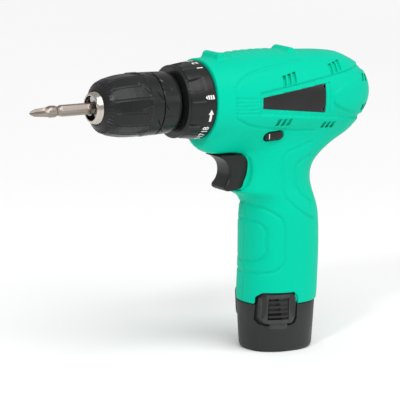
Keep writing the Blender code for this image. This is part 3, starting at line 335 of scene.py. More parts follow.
# %% Relief on the skin
PANEL = [[(-44.5, 145.5), (-45.0, 148.0), (-45.5, 155.0), (-45.5, 163.5)],
         curve_line([(-45.5, 163.5), (-43.0, 166.5), (-36.6, 170.3), (-22.4, 173.6), (-6, 175.6),
                     (4, 176.8)]),
         curve_line([(-44.5, 145.5), (-36.3, 141.3), (-18.3, 137.5), (-6.0, 135.6), (12, 134.4)])]
RIB_LINES = [[(-44.8, z), (-31.5, z - 0.6)] for z in (157.3, 155.1, 152.9, 150.7, 148.5)]
BAND = [(-29.5, 160.2), (62.0, 172.5), (62.0, 136.5), (-29.5, 147.0)]
TEARDROP_TIP, TEARDROP_LONG, TEARDROP_HALF, TEARDROP_Z = 22.5, 26.0, 12.2, 153.3
GRIP = [curve_line([(-33.0, 94.0), (-24.0, 90.8), (-12.5, 84.4), (-9.2, 81.6), (-7.9, 75.4), (-7.9, 62.0),
                    (-8.4, 54.0),
                    (-11.5, 50.6), (-20.0, 48.6), (-33.0, 47.3)], 60),
        curve_line([(-33.0, 84.4), (-28.0, 82.0), (-20.6, 79.2), (-18.2, 76.4), (-17.8, 68.0), (-18.0, 59.0),
                    (-20.5, 56.2),
                    (-33.0, 54.8)], 60),
        curve_line([(12.0, 127.0), (3.0, 124.0), (-5.5, 120.8), (-7.4, 118.0), (-7.6, 106.0), (-6.9, 95.6),
                    (-2.0, 90.0), (5.1, 84.4),
                    (14.0, 79.5)], 60),
        curve_line([(12.0, 118.8), (6.8, 116.3), (1.8, 113.2), (1.0, 108.0), (2.6, 100.0), (6.0, 95.4),
                    (13.0, 90.0)], 40)]
GUARD = [curve_line([(-27.0, 121.0), (-24.4, 117.0), (-23.9, 112.0), (-25.0, 106.0), (-27.5, 101.0),
                     (-31.5, 98.2)], 30)]
BADGE = [(-27.6, 157.2), (17.2, 162.9), (17.2, 145.0), (-27.6, 150.4)]
BAND_DEPTH = 1.2


def relief(x, y, z):
    """How far the moulded details stand proud of the plain body, or sink into it where negative."""
    side = ease((np.abs(y) - 7) / 5)
    grips = ease((np.abs(y) - 0.5) / 2)
    raised = -0.8 * np.exp(-(to_lines(x, z, PANEL) / 0.7) ** 2) * side
    raised = raised - 0.65 * np.exp(-(to_lines(x, z, RIB_LINES) / 0.6) ** 2) * side
    raised = raised - BAND_DEPTH * ease(-inside(x, z, BAND) / 1.0 + 0.5) * ease((np.abs(y) - 3) / 3)
    teardrop = (np.abs(z - TEARDROP_Z)
                - TEARDROP_HALF * np.sqrt(np.maximum(x - TEARDROP_TIP, 0) / TEARDROP_LONG))
    raised = (raised + 1.1 * ease(0.5 - teardrop / 1.4) * ease((x - TEARDROP_TIP) / 1.5)
              * ease((np.abs(y) - 3) / 3))
    raised = raised - 0.85 * np.exp(-(to_lines(x, z, GRIP) / 0.75) ** 2) * grips
    raised = raised + 0.35 * np.exp(-(to_lines(x, z, GUARD) / 1.7) ** 2)
    top = ease((z - 174) / 3) * ease((9.5 - np.abs(y)) / 2) * ease((x + 41) / 2) * ease((-1 - x) / 2)
    raised = raised + 0.45 * top * (0.5 + 0.5 * np.cos(2 * math.pi * (x + 38) / 5.2)) ** 2
    return raised - 0.35 * np.exp(-(y / 0.45) ** 2)


def body_field(p):
    x, y, z = p.T
    return trimmed(plain_body(x, y, z) - relief(x, y, z), x, z)

# %% [markdown]
# A voxel remesh of rough overlapping solids gives an even net of points. Each point then slides along the
# slope of the distance until it lies on the skin, so the mesh is as smooth as the formula.

# %% From distances to a mesh


def onto(points, field, level=0.0, rounds=3):
    """Moves points along the field's slope until they lie at that level."""
    step = 0.04
    for _ in range(rounds):
        here = field(points)
        slope = np.stack([(field(points + step * axis) - here) / step for axis in np.eye(3)], -1)
        size = np.maximum((slope ** 2).sum(-1), 0.25)
        move = ((here - level) / size)[:, None] * slope
        far = np.maximum(np.linalg.norm(move, axis=1) / 1.5, 1)
        points = points - move / far[:, None]
    return points


def even(points, edges, share=0.5, rounds=1):
    """Moves each point part of the way to the middle of its neighbours."""
    for _ in range(rounds):
        total = np.zeros_like(points)
        count = np.zeros(len(points))
        for a, b in ((0, 1), (1, 0)):
            count += np.bincount(edges[:, a], minlength=len(points))
            for axis in range(3):
                total[:, axis] += np.bincount(edges[:, a], points[edges[:, b], axis], len(points))
        points = points + share * (total / np.maximum(count, 1)[:, None] - points)
    return points


def rough_body():
    """Plain overlapping solids that lie near the body, for the remesher to join."""
    turn = np.linspace(0, 2 * math.pi, 33)[:-1]
    shapes = []
    rings = []
    for x, centre, high, half in [(FRONT_X,) + BARREL[0][1:]] + BARREL[1:] + [(REAR_X, 0.8, 1.5, 3.0)]:
        rings.append([(x, half * math.sin(t), AXIS_Z + centre + high * math.cos(t)) for t in turn])
    shapes.append(loft(rings))
    rings = []
    for z, front, rear, half in [(SPLIT_Z,) + HANDLE[0][1:]] + HANDLE[1:]:
        middle, depth = (front + rear) / 2, (rear - front) / 2
        rings.append([(middle + depth * math.cos(t), half * math.sin(t), z) for t in turn])
    shapes.append(loft(rings))
    rings = [[(x, r * 16 * math.sin(t), 146 + r * 24 * math.cos(t)) for t in turn]
             for x, r in ((-57.3, 0.62), (-54, 0.86), (-48, 0.98), (-30, 1), (-12, 0.9))]
    shapes.append(loft(rings))
    for place, height in ((-45.6, 179.6), (3.5, 180.0)):
        rings = [[(place + 3.4 * math.cos(t), y, height + 3.4 * math.sin(t)) for t in turn] for y in (-9, 9)]
        shapes.append(loft(rings))
    points, faces, start = [], [], 0
    for part_points, part_faces in shapes:
        points.append(part_points)
        faces += [[v + start for v in face] for face in part_faces]
        start += len(part_points)
    return np.concatenate(points), faces


def skin(name, field, level, size):
    """A closed mesh of the field's skin at that level, with points about size apart."""
    points, faces = rough_body()
    obj = piece(name, points, faces, smooth=False)
    modifier = obj.modifiers.new("join", "REMESH")
    modifier.mode = "VOXEL"
    modifier.voxel_size = size * MM
    baked(obj)
    data = obj.data
    points = np.empty(len(data.vertices) * 3)
    data.vertices.foreach_get("co", points)
    points = points.reshape(-1, 3) / MM
    edges = np.empty(len(data.edges) * 2, int)
    data.edges.foreach_get("vertices", edges)
    edges = edges.reshape(-1, 2)
    points = onto(points, lambda p: trimmed(plain_body(*p.T), p[:, 0], p[:, 2]), level, 4)
    points = even(points, edges, 0.5, 3)
    points = onto(points, field, level, 3)
    points = even(points, edges, 0.25, 1)
    points = onto(points, field, level, 2)
    data.vertices.foreach_set("co", (points * MM).ravel())
    data.update()
    print(name, len(points), "points")
    return obj


FINE = 0.6
outer = skin("outer_skin", body_field, 0.0, FINE)

# %% [markdown]
# ## The hollow, the openings and the two halves
#
# The real shells are about 2 mm thick, with rings that hold the gearbox and the motor, and bosses for
# the screws. The hollow is the same field at a lower level, so the wall is even. The rings and bosses
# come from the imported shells, kept only where they lie inside the new skin. Vents, slots and pockets
# are real holes, cut with plain prisms, because light has to fall into them.

# %% Cutters and the shells
SHELL_WALL = 2.1
SEAM_GAP = 0.1


def prism(outline, y_low, y_high, rounding=0.0, steps=3):
    """Points and faces of an outline in the side view, pushed across from y_low to y_high."""
    outline = np.asarray(outline, float)
    if rounding:
        corners = []
        for i, here in enumerate(outline):
            before, after = outline[i - 1], outline[(i + 1) % len(outline)]
            a = here + (before - here) / np.linalg.norm(before - here) * rounding
            b = here + (after - here) / np.linalg.norm(after - here) * rounding
            for t in np.linspace(0, 1, steps + 1):
                corners.append((1 - t) ** 2 * a + 2 * t * (1 - t) * here + t * t * b)
        outline = np.array(corners)
    rings = [[(x, y, z) for x, z in outline] for y in (y_low, y_high)]
    return loft(rings)


def several(shapes):
    """Many separate shapes as one list of points and one of faces."""
    points, faces, start = [], [], 0
    for part_points, part_faces in shapes:
        points.append(np.asarray(part_points, float))
        faces += [[int(v) + start for v in face] for face in part_faces]
        start += len(part_points)
    return np.concatenate(points), faces


def cylinder(start, end, radius, steps=24):
    start, end = np.asarray(start, float), np.asarray(end, float)
    along = (end - start) / np.linalg.norm(end - start)
    side = np.cross(along, [0, 0, 1] if abs(along[2]) < 0.9 else [0, 1, 0])
    side /= np.linalg.norm(side)
    other = np.cross(along, side)
    turn = np.arange(steps) * 2 * math.pi / steps
    ring = [radius * (math.cos(t) * side + math.sin(t) * other) for t in turn]
    return loft([[start + r for r in ring], [end + r for r in ring]])


def pill_outline(x, z, length, height, tilt=0.0, grow=0.0, steps=7):
    half = (length - height) / 2
    radius = height / 2 + grow
    points = []
    for k in range(2 * steps):
        t = math.pi * (k % steps) / (steps - 1)
        if k < steps:
            points.append((half + radius * math.sin(t), radius * math.cos(t)))
        else:
            points.append((-half - radius * math.sin(t), -radius * math.cos(t)))
    c, s = math.cos(tilt), math.sin(tilt)
    return [(x + c * a - s * b, z + s * a + c * b) for a, b in points]

# %% [markdown]
# Cooling air enters the real tool through slots on both sides. They lean with the side panel, three or two
# in a group, and the wall round each group is thinner than the rest.

# %% Vent slots
#        first slot's foot, step between slots, size, lean: for one side
VENTS = [((-13.9, 162.8), (3.7, 0.75), (2.5, 6.2), 0.10),
         ((21.4, 167.6), (3.6, 0.75), (2.4, 5.6), 0.12),
         ((-17.2, 139.0), (3.8, -0.15), (2.6, 4.2), 0.26),
         ((16.4, 135.2), (3.6, -0.25), (2.4, 3.8), 0.26)]
CAP_VENTS = [((46.6, 161.0), (3.6, -0.5), (2.4, 4.2), 0.30),
             ((46.2, 143.2), (3.5, 0.5), (2.4, 3.8), 0.34)]
VENT_WALL = 1.0
TRIGGER_TRAVEL = 6.0
TRIGGER_ROOM = 8.3


def vent_outlines():
    found = []
    for vents, count in ((VENTS, 3), (CAP_VENTS, 2)):
        for (x, z), (dx, dz), (wide, high), lean in vents:
            for k in range(count):
                x0, z0 = x + k * dx, z + k * dz
                top = x0 + lean * high
                found.append([(x0, z0), (x0 + wide, z0 + 0.25), (top + wide, z0 + high + 0.25),
                              (top, z0 + high)])
    return found


def vent_groups():
    """The area round each group of vents, where the wall is thinner."""
    for vents, count in ((VENTS, 3), (CAP_VENTS, 2)):
        for (x, z), (dx, dz), (wide, high), lean in vents:
            last_x, last_z = x + (count - 1) * dx + wide, z + (count - 1) * dz
            yield [(x - 1.2, z - 1.2), (last_x + 1.2, last_z - 1.2),
                   (last_x + 1.2 + lean * high, last_z + high + 1.4),
                   (x - 1.2 + lean * high, z + high + 1.2)]

# %% [markdown]
# The pockets for the badges and the thin walls at the vents follow the skin, so their cutters are patches
# between two depths under it. The depth is found by halving an interval across the tool.

# %% Cutters that follow the skin


def skin_cut(outline, low, high, name, side, grow=0.0, rows=26):
    """A patch that follows the body's skin between two depths under it, over an outline on one side."""
    outline = np.asarray(outline, float)
    middle = outline.mean(0)
    outline = middle + (outline - middle) * (1 + grow / np.abs(outline - middle).mean(0))
    u = np.linspace(0, 1, rows * 2)
    v = np.linspace(0, 1, rows)
    uu, vv = np.meshgrid(u, v)
    a, b, c, d = outline
    flat = ((1 - uu) * (1 - vv))[..., None] * d + (uu * (1 - vv))[..., None] * c + (uu * vv)[..., None] * b \
        + ((1 - uu) * vv)[..., None] * a
    flat = flat.reshape(-1, 2)

    def at_depth(depth):
        near, far = np.full(len(flat), 8.0), np.full(len(flat), 34.0)
        for _ in range(22):
            middle_y = (near + far) / 2
            value = plain_body(flat[:, 0], middle_y, flat[:, 1])
            near = np.where(value < -depth, middle_y, near)
            far = np.where(value < -depth, far, middle_y)
        return np.stack([flat[:, 0], side * near, flat[:, 1]], -1)

    count = len(flat)
    points = np.concatenate([at_depth(low), at_depth(high)])
    faces = grid_faces(rows, rows * 2, wrap=False)
    border = [c for c in range(rows * 2)] + [r * rows * 2 + rows * 2 - 1 for r in range(1, rows)] \
        + [(rows - 1) * rows * 2 + c for c in range(rows * 2 - 2, -1, -1)] \
        + [r * rows * 2 for r in range(rows - 2, 0, -1)]
    all_faces = faces.tolist() + (faces[:, ::-1] + count).tolist()
    for i, here in enumerate(border):
        there = border[(i + 1) % len(border)]
        all_faces.append([here, there, there + count, here + count])
    return piece(name, points, all_faces, smooth=False)

# %% [markdown]
# The two halves meet at a seam with a hair's gap. The openings are cut while the body is whole, so both
# sides agree, and only the right half has the screw holes.

# %% Hollow, ribs, openings and halves


def base_field(points):
    return trimmed(plain_body(*points.T), points[:, 0], points[:, 2])


def hollow_out():
    """Takes the inside out of the body, with the battery's shaft below and the round mouth at the front."""
    hollow = skin("hollow", base_field, -SHELL_WALL, 1.3)
    boolean(outer, hollow, "DIFFERENCE")
    turn = np.arange(48) * 2 * math.pi / 48
    ring = [(19.7 * np.sign(math.cos(t)) * abs(math.cos(t)) ** 0.72,
             18.5 * np.sign(math.sin(t)) * abs(math.sin(t)) ** 0.72)
            for t in turn]
    shaft = loft([[(x, y, z) for x, y in ring] for z in (20, 84)])
    boolean(outer, piece("shaft", *shaft, smooth=False), "DIFFERENCE")
    boolean(outer, piece("mouth", *cylinder((-62, 0, AXIS_Z), (-50, 0, AXIS_Z), 20.2, 96), smooth=False),
            "DIFFERENCE")


def packed_ribs():
    """The rings and bosses of the two packed shells, kept where they lie inside the new wall."""
    inner = skin("inner_limit", base_field, -0.5 * SHELL_WALL, 2.0)
    found = []
    for label in ("left", "right"):
        source = nodes[label + "_housing"]
        data = source.data.copy()
        tidy_normals(data)
        ribs = bpy.data.objects.new(label + "_ribs", data)
        bpy.context.scene.collection.objects.link(ribs)
        limit = bpy.data.objects.new("limit", inner.data.copy())
        bpy.context.scene.collection.objects.link(limit)
        boolean(ribs, limit, "INTERSECT")
        found.append(ribs)
    bpy.data.objects.remove(inner)
    return found


def cut_openings():
    cuts = []
    for outline in vent_outlines():
        for y_low, y_high in ((-40, -9), (9, 40)):
            cuts.append(prism(outline, y_low, y_high))
    cuts.append(prism(pill_outline(-15.2, 132.6, 14.2, 6.4, 0.06), -40, 40))
    window = [(-60, 121.4), (-60, 98.4), (-34.0, 98.7), (-30.8, 99.8), (-28.2, 102.0), (-26.2, 105.4),
              (-25.1, 109.4), (-24.8, 113.4), (-25.7, 118.6), (-29.0, 121.6)]
    cuts.append(prism(window, -40, 40, 0.9))
    # Behind the window the trigger slides in between the walls.
    room = [(-33.0, 121.4), (-33.0, 98.9)] + [(x + TRIGGER_TRAVEL, z) for x, z in window[3:]]
    cuts.append(prism(room, -TRIGGER_ROOM, TRIGGER_ROOM, 0.9))
    boolean(outer, piece("openings", *several(cuts), smooth=False), "DIFFERENCE")
    notch = [(-22.0, 20), (-22.0, 34.2), (-19.4, 37.0), (-0.8, 37.0), (2.0, 34.2), (2.0, 20)]
    for side in (-1, 1):
        low, high = sorted((side * 6.0, side * 40))
        boolean(outer, piece("notch", *prism(notch, low, high, 1.0), smooth=False), "DIFFERENCE")
        boolean(outer, skin_cut(BADGE, 2.0, -2.0, "pocket", side, 0.35), "DIFFERENCE")
        for group in vent_groups():
            boolean(outer, skin_cut(group, 5.0, VENT_WALL, "thin_wall", side, 0.0, 8), "DIFFERENCE")


def split_halves(ribs_of_sides):
    """Cuts the body at the seam, adds the rings and bosses, and drills the screw holes from the right."""
    for side, label, ribs in zip((-1, 1), ("left", "right"), ribs_of_sides):
        half = bpy.data.objects.new(label + "_shell", outer.data.copy())
        bpy.context.scene.collection.objects.link(half)
        low, high = sorted((side * SEAM_GAP, side * 60))
        block = prism([(-90, 10), (90, 10), (90, 210), (-90, 210)], low, high)
        boolean(half, piece("block", *block, smooth=False), "INTERSECT")
        boolean(half, ribs, "UNION")
        if side > 0:
            holes = [cylinder((x, y, z), (x, 40, z), 3.0) for x, y, z in SCREWS]
            boolean(half, piece("screw_holes", *several(holes), smooth=False), "DIFFERENCE")
        shade(half, 38)
        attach(half, "root")
        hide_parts(label + "_housing")
        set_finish(half, "green_plastic")
        print(half.name, len(half.data.polygons), "faces")
    bpy.data.objects.remove(outer)


SCREWS = []
for screw in ("screw_top_front", "screw_top_rear", "screw_chin", "screw_neck", "screw_rear"):
    low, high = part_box(screw)
    SCREWS.append(((low.x + high.x) / 2 / MM, high.y / MM - 2.6, (low.z + high.z) / 2 / MM))
hollow_out()
ribs_of_sides = packed_ribs()
cut_openings()
split_halves(ribs_of_sides)

# %% [markdown]
# ## Badge plates
#
# On the real tool a thin dark plate is stuck into a shallow pocket on each side, with a pin head at
# each rear corner. The plate follows the shell, so it is cut from the same field, a little under the
# surface. It is left plain: the lettering of the original isn't part of this model.

# %% Badges and their pins


def solid_of(shapes, name, body, slot=None, angle=32):
    obj = piece(name, *(several(shapes) if isinstance(shapes, list) else shapes), body=body)
    shade(obj, angle)
    if slot:
        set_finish(obj, slot)
    return obj


def bevelled(obj, width, segments=3, angle=30):
    modifier = obj.modifiers.new("soft", "BEVEL")
    modifier.width = width * MM
    modifier.segments = segments
    modifier.limit_method = "ANGLE"
    modifier.angle_limit = math.radians(angle)
    baked(obj)
    shade(obj, 50)
    return obj


for side, label in ((-1, "left"), (1, "right")):
    plate = skin_cut(BADGE, 1.9, 0.95, label + "_badge_plate", side, -0.15)
    bevelled(plate, 0.22, 2, 50)
    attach(plate, "root")
    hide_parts(label + "_badge")
    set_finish(plate, "badge_film")
print("badges ready")

# %% [markdown]
# ## Lathe work: the chuck, its nose ring and the torque collar
#
# These are round pieces with patterns on them. A plain lathe and a bump map would leave a smooth
# outline, so the lathe here takes a function that lowers the radius at each place. The flats, the
# slanted ends of the flats, the fine grooves and the finger recesses are all real shape.

# %% The lathe


def lathe(profile, steps, spacing=0.0, lower=None, outside=None):
    """Points and faces of a closed profile of (x, radius) turned about the tool's axis.

    Only the first `outside` points of the profile are seen, so only the stretches between them are refined.
    """
    profile = np.asarray(profile, float)
    if spacing:
        fine = []
        for k, (here, there) in enumerate(zip(profile, np.roll(profile, -1, axis=0))):
            seen = outside is None or k < outside - 1
            count = max(1, int(np.linalg.norm(there - here) / spacing)) if seen else 1
            fine += [here + (there - here) * k / count for k in range(count)]
        profile = np.array(fine)
    turn = np.arange(steps) * 2 * math.pi / steps
    x = np.repeat(profile[:, :1], steps, axis=1)
    r = np.repeat(profile[:, 1:], steps, axis=1)
    if lower is not None:
        r = r - lower(x, np.degrees(turn)[None, :] % 360, r)
    rings = np.stack([x, -r * np.sin(turn), AXIS_Z + r * np.cos(turn)], -1)
    return loft(rings, closed_ring=True)


def repeats(degrees, pitch, start=0.0):
    """Signed distance in degrees from the nearest of the marks that are one pitch apart."""
    return (degrees - start + pitch / 2) % pitch - pitch / 2


def groove(distance, width):
    return np.exp(-(distance / (width / 2)) ** 2)

# %% [markdown]
# The chuck's front sleeve has fourteen flat facets, with a slanted end on every second one, and short oblique
# slots run from it over the rear sleeve. Each is cut into a plain turned profile by an angle and a depth.

# %% Chuck sleeves and nose ring
UNIT = 360 / 7
SLEEVE = [(-126.5, 10.2), (-126.3, 11.2), (-125.6, 12.4), (-124.4, 14.0), (-122.6, 15.4), (-120, 16.75),
          (-117, 17.8),
          (-113, 18.5), (-109, 18.85), (-104, 19.0), (-99, 19.0), (-98.2, 18.75), (-91.0, 18.6),
          (-90.6, 18.3),
          (-90.6, 16.7), (-117.3, 16.6), (-121.3, 13.7), (-123.5, 10.2)]


def sleeve_cut(x, degrees, r):
    outside = (r > 0.999 * np.interp(x, [p[0] for p in SLEEVE[:14]],
                                     [p[1] for p in SLEEVE[:14]])) & (x < -90.8)
    unit = (degrees - 39.0) % UNIT
    facet = (degrees - 45.0) % (UNIT / 2) - UNIT / 4
    slant = np.where(unit < 26, -104.6 + unit * 6.2 / 25, -98.4)
    slant = np.where(unit > 47, -98.4 - (unit - 47) * 1.4, slant)
    flat = ease((slant - x) / 1.3) * ease((x + 121.5) / 5)
    amount = flat * (r * (1 - math.cos(math.radians(UNIT / 4)) / np.cos(np.radians(facet))) + 0.22)
    line = repeats(degrees, UNIT / 2, 45.0)
    amount = amount + 0.45 * groove(line, 3.0) * ease((slant + 1.5 - x) / 1.5) * ease((x + 122.5) / 1.5)
    across = degrees - (64.0 + (x + 93.6) * 5.2)
    slot = groove(repeats(across, UNIT), 3.6) * ease((x + 94.6) / 0.6)
    return np.where(outside, amount + 0.7 * slot, 0)


REAR_SLEEVE = [(-90.0, 16.7), (-90.0, 18.3), (-89.6, 18.55), (-80.8, 18.2), (-78.8, 17.8), (-78.0, 17.0),
               (-78.0, 15.2), (-80.1, 15.1),
               (-80.1, 10.4), (-83, 10.4), (-83, 16.7)]


def rear_sleeve_cut(x, degrees, r):
    across = degrees - (64.0 + (x + 93.6) * 5.2)
    slot = groove(repeats(across, UNIT), 3.6) * ease((-87.6 - x) / 0.6)
    line = groove(repeats(degrees, UNIT, 5.0), 2.6) * ease((-84.0 - x) / 1.0)
    return np.where(r > 17.2, 0.7 * slot + 0.35 * line, 0)


NOSE = [(-130.0, 7.4), (-130.05, 8.0), (-129.8, 8.5), (-129.2, 8.95), (-126.6, 9.75), (-126.0, 9.82),
        (-123.3, 9.82), (-123.3, 8.9),
        (-126.6, 8.85), (-128.8, 7.9), (-129.6, 7.4)]
STEPS = 480
GRID = 0.36
SLEEVE_SEEN, REAR_SLEEVE_SEEN, COLLAR_SEEN = 14, 6, 16
sleeve = solid_of(lathe(SLEEVE, STEPS, GRID, sleeve_cut, SLEEVE_SEEN), "chuck_front_sleeve", "chuck_sleeve",
                  "black_plastic")
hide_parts("chuck_sleeve")
rear_sleeve = solid_of(lathe(REAR_SLEEVE, STEPS, GRID, rear_sleeve_cut, REAR_SLEEVE_SEEN),
                       "chuck_back_sleeve", "spindle", "black_plastic")
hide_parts("chuck_rear_sleeve")
nose = solid_of(lathe(NOSE, 192, 0.2), "chuck_nose_ring", "chuck_sleeve", "nickel", 60)
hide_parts("nose_ring")
print("chuck:", [len(o.data.polygons) for o in (sleeve, rear_sleeve, nose)], "faces")

# %% [markdown]
# The torque collar has a bright-edged front rim, six finger recesses that run out in a ramp, and
# numbers from 1 to 18 at even steps with a drill mark after 18. The numbers are raised a little, which
# is how a pad print on a moulded number looks, and they are bent round the collar point by point.

# %% Torque collar
COLLAR = [(-76.0, 11.5), (-76.0, 20.6), (-75.9, 21.2), (-75.5, 21.6), (-75.0, 21.65), (-74.6, 21.3),
          (-74.3, 20.7), (-73.7, 21.1),
          (-73.2, 21.6), (-72.0, 21.95), (-68.0, 22.45), (-64.5, 22.9), (-59.2, 23.15), (-58.4, 23.1),
          (-58.0, 22.8), (-58.0, 18.1),
          (-74.0, 18.1), (-74.0, 11.5)]
RECESS = 60.0
RECESS_START = 57.0
MARK_STEP = 15.0


def collar_cut(x, degrees, r):
    outside = (r > 20.3) & (x > -73.9) & (x < -58.2)
    off = repeats(degrees, RECESS, RECESS_START)
    along = ease((-63.0 - x) / 5.4)
    across = ease((10.5 - off) / 1.6) * ease((off + 9.5 + (x + 73) * 0.25) / 1.6)
    between = groove(repeats(degrees, RECESS, RECESS_START + 27),
                     2.2) * ease((x + 73.6) / 0.4) * ease((-64.0 - x) / 1.2)
    return np.where(outside, 1.5 * along * across + 0.35 * between, 0)


collar = solid_of(lathe(COLLAR, STEPS, GRID, collar_cut, COLLAR_SEEN), "torque_collar_body", "torque_collar",
                  "black_plastic")
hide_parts("torque_collar")

# %% [markdown]
# Numbers from 1 to 18, the drill mark and the arrow are printed in white on the collar. Each mark starts flat
# and is bent round the collar's cone, standing a tenth of a millimetre proud.

# %% Marks on the collar


def glyph(text, size):
    """Flat points and faces of a word, in millimetres, centred, with its top towards +v."""
    curve = bpy.data.curves.new("glyph", "FONT")
    curve.body = text
    curve.size = size
    curve.align_x = "CENTER"
    curve.align_y = "CENTER"
    curve.offset = 0.022 * size
    curve.resolution_u = 6
    obj = bpy.data.objects.new("glyph", curve)
    bpy.context.scene.collection.objects.link(obj)
    graph = bpy.context.evaluated_depsgraph_get()
    data = bpy.data.meshes.new_from_object(obj.evaluated_get(graph))
    points = [tuple(v.co)[:2] for v in data.vertices]
    faces = [list(f.vertices) for f in data.polygons]
    bpy.data.objects.remove(obj)
    return np.array(points), faces


def on_collar(points, faces, x, degrees, proud=0.14):
    """A flat mark bent round the collar: its u runs against the angle, its v towards the front."""
    shell = []
    for height in (0.0, proud):
        radius = np.interp(x - points[:, 1], [-76, -72, -64.5, -59.2],
                           [21.5, 21.95, 22.9, 23.15]) + height - 0.06
        angle = math.radians(degrees) - points[:, 0] / 23.0
        shell.append(np.stack([x - points[:, 1], -radius * np.sin(angle), AXIS_Z + radius * np.cos(angle)],
                              -1))
    count = len(points)
    edges = {}
    for face in faces:
        for a, b in zip(face, face[1:] + face[:1]):
            edges[(a, b)] = edges.get((a, b), 0) + 1
    sides = [[a, b, b + count, a + count] for a, b in edges if (b, a) not in edges]
    all_faces = [list(f)[::-1] for f in faces] + [[v + count for v in f] for f in faces] + sides
    return np.concatenate(shell), all_faces


def fine_polygon(outline, step=0.5):
    """A convex outline as a fan, with points close enough to bend."""
    outline = np.asarray(outline, float)
    rim = []
    for here, there in zip(outline, np.roll(outline, -1, axis=0)):
        count = max(1, int(np.linalg.norm(there - here) / step))
        rim += [here + (there - here) * k / count for k in range(count)]
    rim = np.array(rim)
    points = np.concatenate([rim, rim.mean(0)[None]])
    return points, [[k, (k + 1) % len(rim), len(rim)] for k in range(len(rim))]


marks = []
for number in range(1, 19):
    marks.append(on_collar(*glyph(str(number), 5.4), -62.2, 27.5 - MARK_STEP * (number - 1)))
for k in range(3):
    bar = [(-1.0, -1.75 + 1.5 * k), (1.5, -1.35 + 1.5 * k), (1.5, -0.35 + 1.5 * k), (-1.0, -0.75 + 1.5 * k)]
    marks.append(on_collar(*fine_polygon(bar), -61.2, 79.5))
marks.append(on_collar(*fine_polygon([(-1.0, 2.75), (1.5, 3.15), (0.2, 4.2)]), -61.2, 79.5))
marks.append(on_collar(*fine_polygon([(-4.0, -0.75), (0.6, -0.75), (0.6, 0.75), (-4.0, 0.75)]), -61.5, 106.0))
marks.append(on_collar(*fine_polygon([(0.6, -1.7), (3.6, 0.0), (0.6, 1.7)]), -61.5, 106.0))
collar_marks = solid_of(marks, "torque_collar_marks", "torque_collar")
print("collar:", len(collar.data.polygons), "faces, marks:", len(collar_marks.data.polygons))

# %% [markdown]
# ## The bit
#
# A double-ended bit is a 6.35 mm hexagonal bar turned down behind each point. The point is a cross,
# milled as four slanted flutes. One section function of distance and angle gives all of it, so the
# flutes run out smoothly into the round shoulder.

# %% Screwdriver bit
BIT_FRONT = -170.0
BIT_LONG = 65.0


def bit_section(distance, turn):
    hexagon = 3.175 / np.cos((turn + math.pi / 6) % (math.pi / 3) - math.pi / 6)
    hexagon = np.minimum(hexagon, 3.56)
    radius = np.interp(distance, [0, 0.3, 2.6, 3.6, 9.5, 11.6, 12.6, 13.4, 16.2, 17.4, 18.6, 20.6],
                       [0.6, 0.95, 1.95, 2.3, 2.75, 2.95, 3.35, 3.5, 3.4, 2.75, 2.75, 3.4])
    depth = np.interp(distance, [0, 1.0, 8.5, 11.8], [0.5, 0.62, 0.5, 0.0])
    flute = np.abs(np.sin(2 * turn)) ** 0.6
    cross = radius * (1 - depth * flute)
    if distance > 18.6:
        share = ease((distance - 18.6) / 2.4)
        return cross * (1 - share) + hexagon * share
    return cross


turns = np.arange(96) * 2 * math.pi / 96
half_stations = np.concatenate([np.linspace(0, 21.2, 70), [32.5]])
distances = np.concatenate([half_stations[:-1], BIT_LONG - half_stations[::-1][1:]])
rings = []
for distance in distances:
    radius = bit_section(min(distance, BIT_LONG - distance), turns)
    rings.append(np.stack([np.full(96, BIT_FRONT + distance), radius * np.sin(turns),
                           AXIS_Z + radius * np.cos(turns)], -1))
bit = solid_of(loft(rings), "bit_double_ended", "screwdriver_bit", "bit_steel", 28)
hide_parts("screwdriver_bit")
print("bit:", len(bit.data.polygons), "faces")

# %% [markdown]
# ## Trigger, button, battery and latches
#
# These are mouldings with a clear side outline and soft rims. Each is an outline pushed across the
# tool, with the outline drawn in a little towards both sides, which gives the rounded rim of a real
# moulding. The battery foot is a loft of ovals with a rolled lower edge.

# %% Trigger and direction button


def drawn_in(outline, amount):
    """The outline moved inwards by this amount, point by point."""
    outline = np.asarray(outline, float)
    along = np.roll(outline, -1, axis=0) - np.roll(outline, 1, axis=0)
    along /= np.linalg.norm(along, axis=1)[:, None]
    normal = np.stack([along[:, 1], -along[:, 0]], -1)
    area = np.sum(outline[:, 0] * np.roll(outline[:, 1], -1) - np.roll(outline[:, 0], -1) * outline[:, 1])
    return outline - np.sign(area) * normal * np.asarray(amount)[..., None]


def closed_curve(points, count):
    points = np.asarray(points, float)
    wrapped = np.concatenate([points[-3:], points, points[:3]])
    along = np.concatenate([[0], np.cumsum(np.hypot(*np.diff(wrapped, axis=0).T))])
    t = np.linspace(along[3], along[len(points) + 3], count, endpoint=False)
    return np.stack([spline(t, along, wrapped[:, 0]), spline(t, along, wrapped[:, 1])], -1)


def pushed_across(outline, half, rim, amounts=1.0, steps=7):
    """A rounded moulding: the outline from -half to +half across, with its rims rolled over."""
    rings = [(-half + rim * (1 - math.cos(t)), rim * (1 - math.sin(t)))
             for t in np.linspace(0, math.pi / 2, steps)]
    rings += [(-y, inset) for y, inset in rings[::-1]]
    return loft([[(x, y, z) for x, z in drawn_in(outline, inset * amounts)] for y, inset in rings])


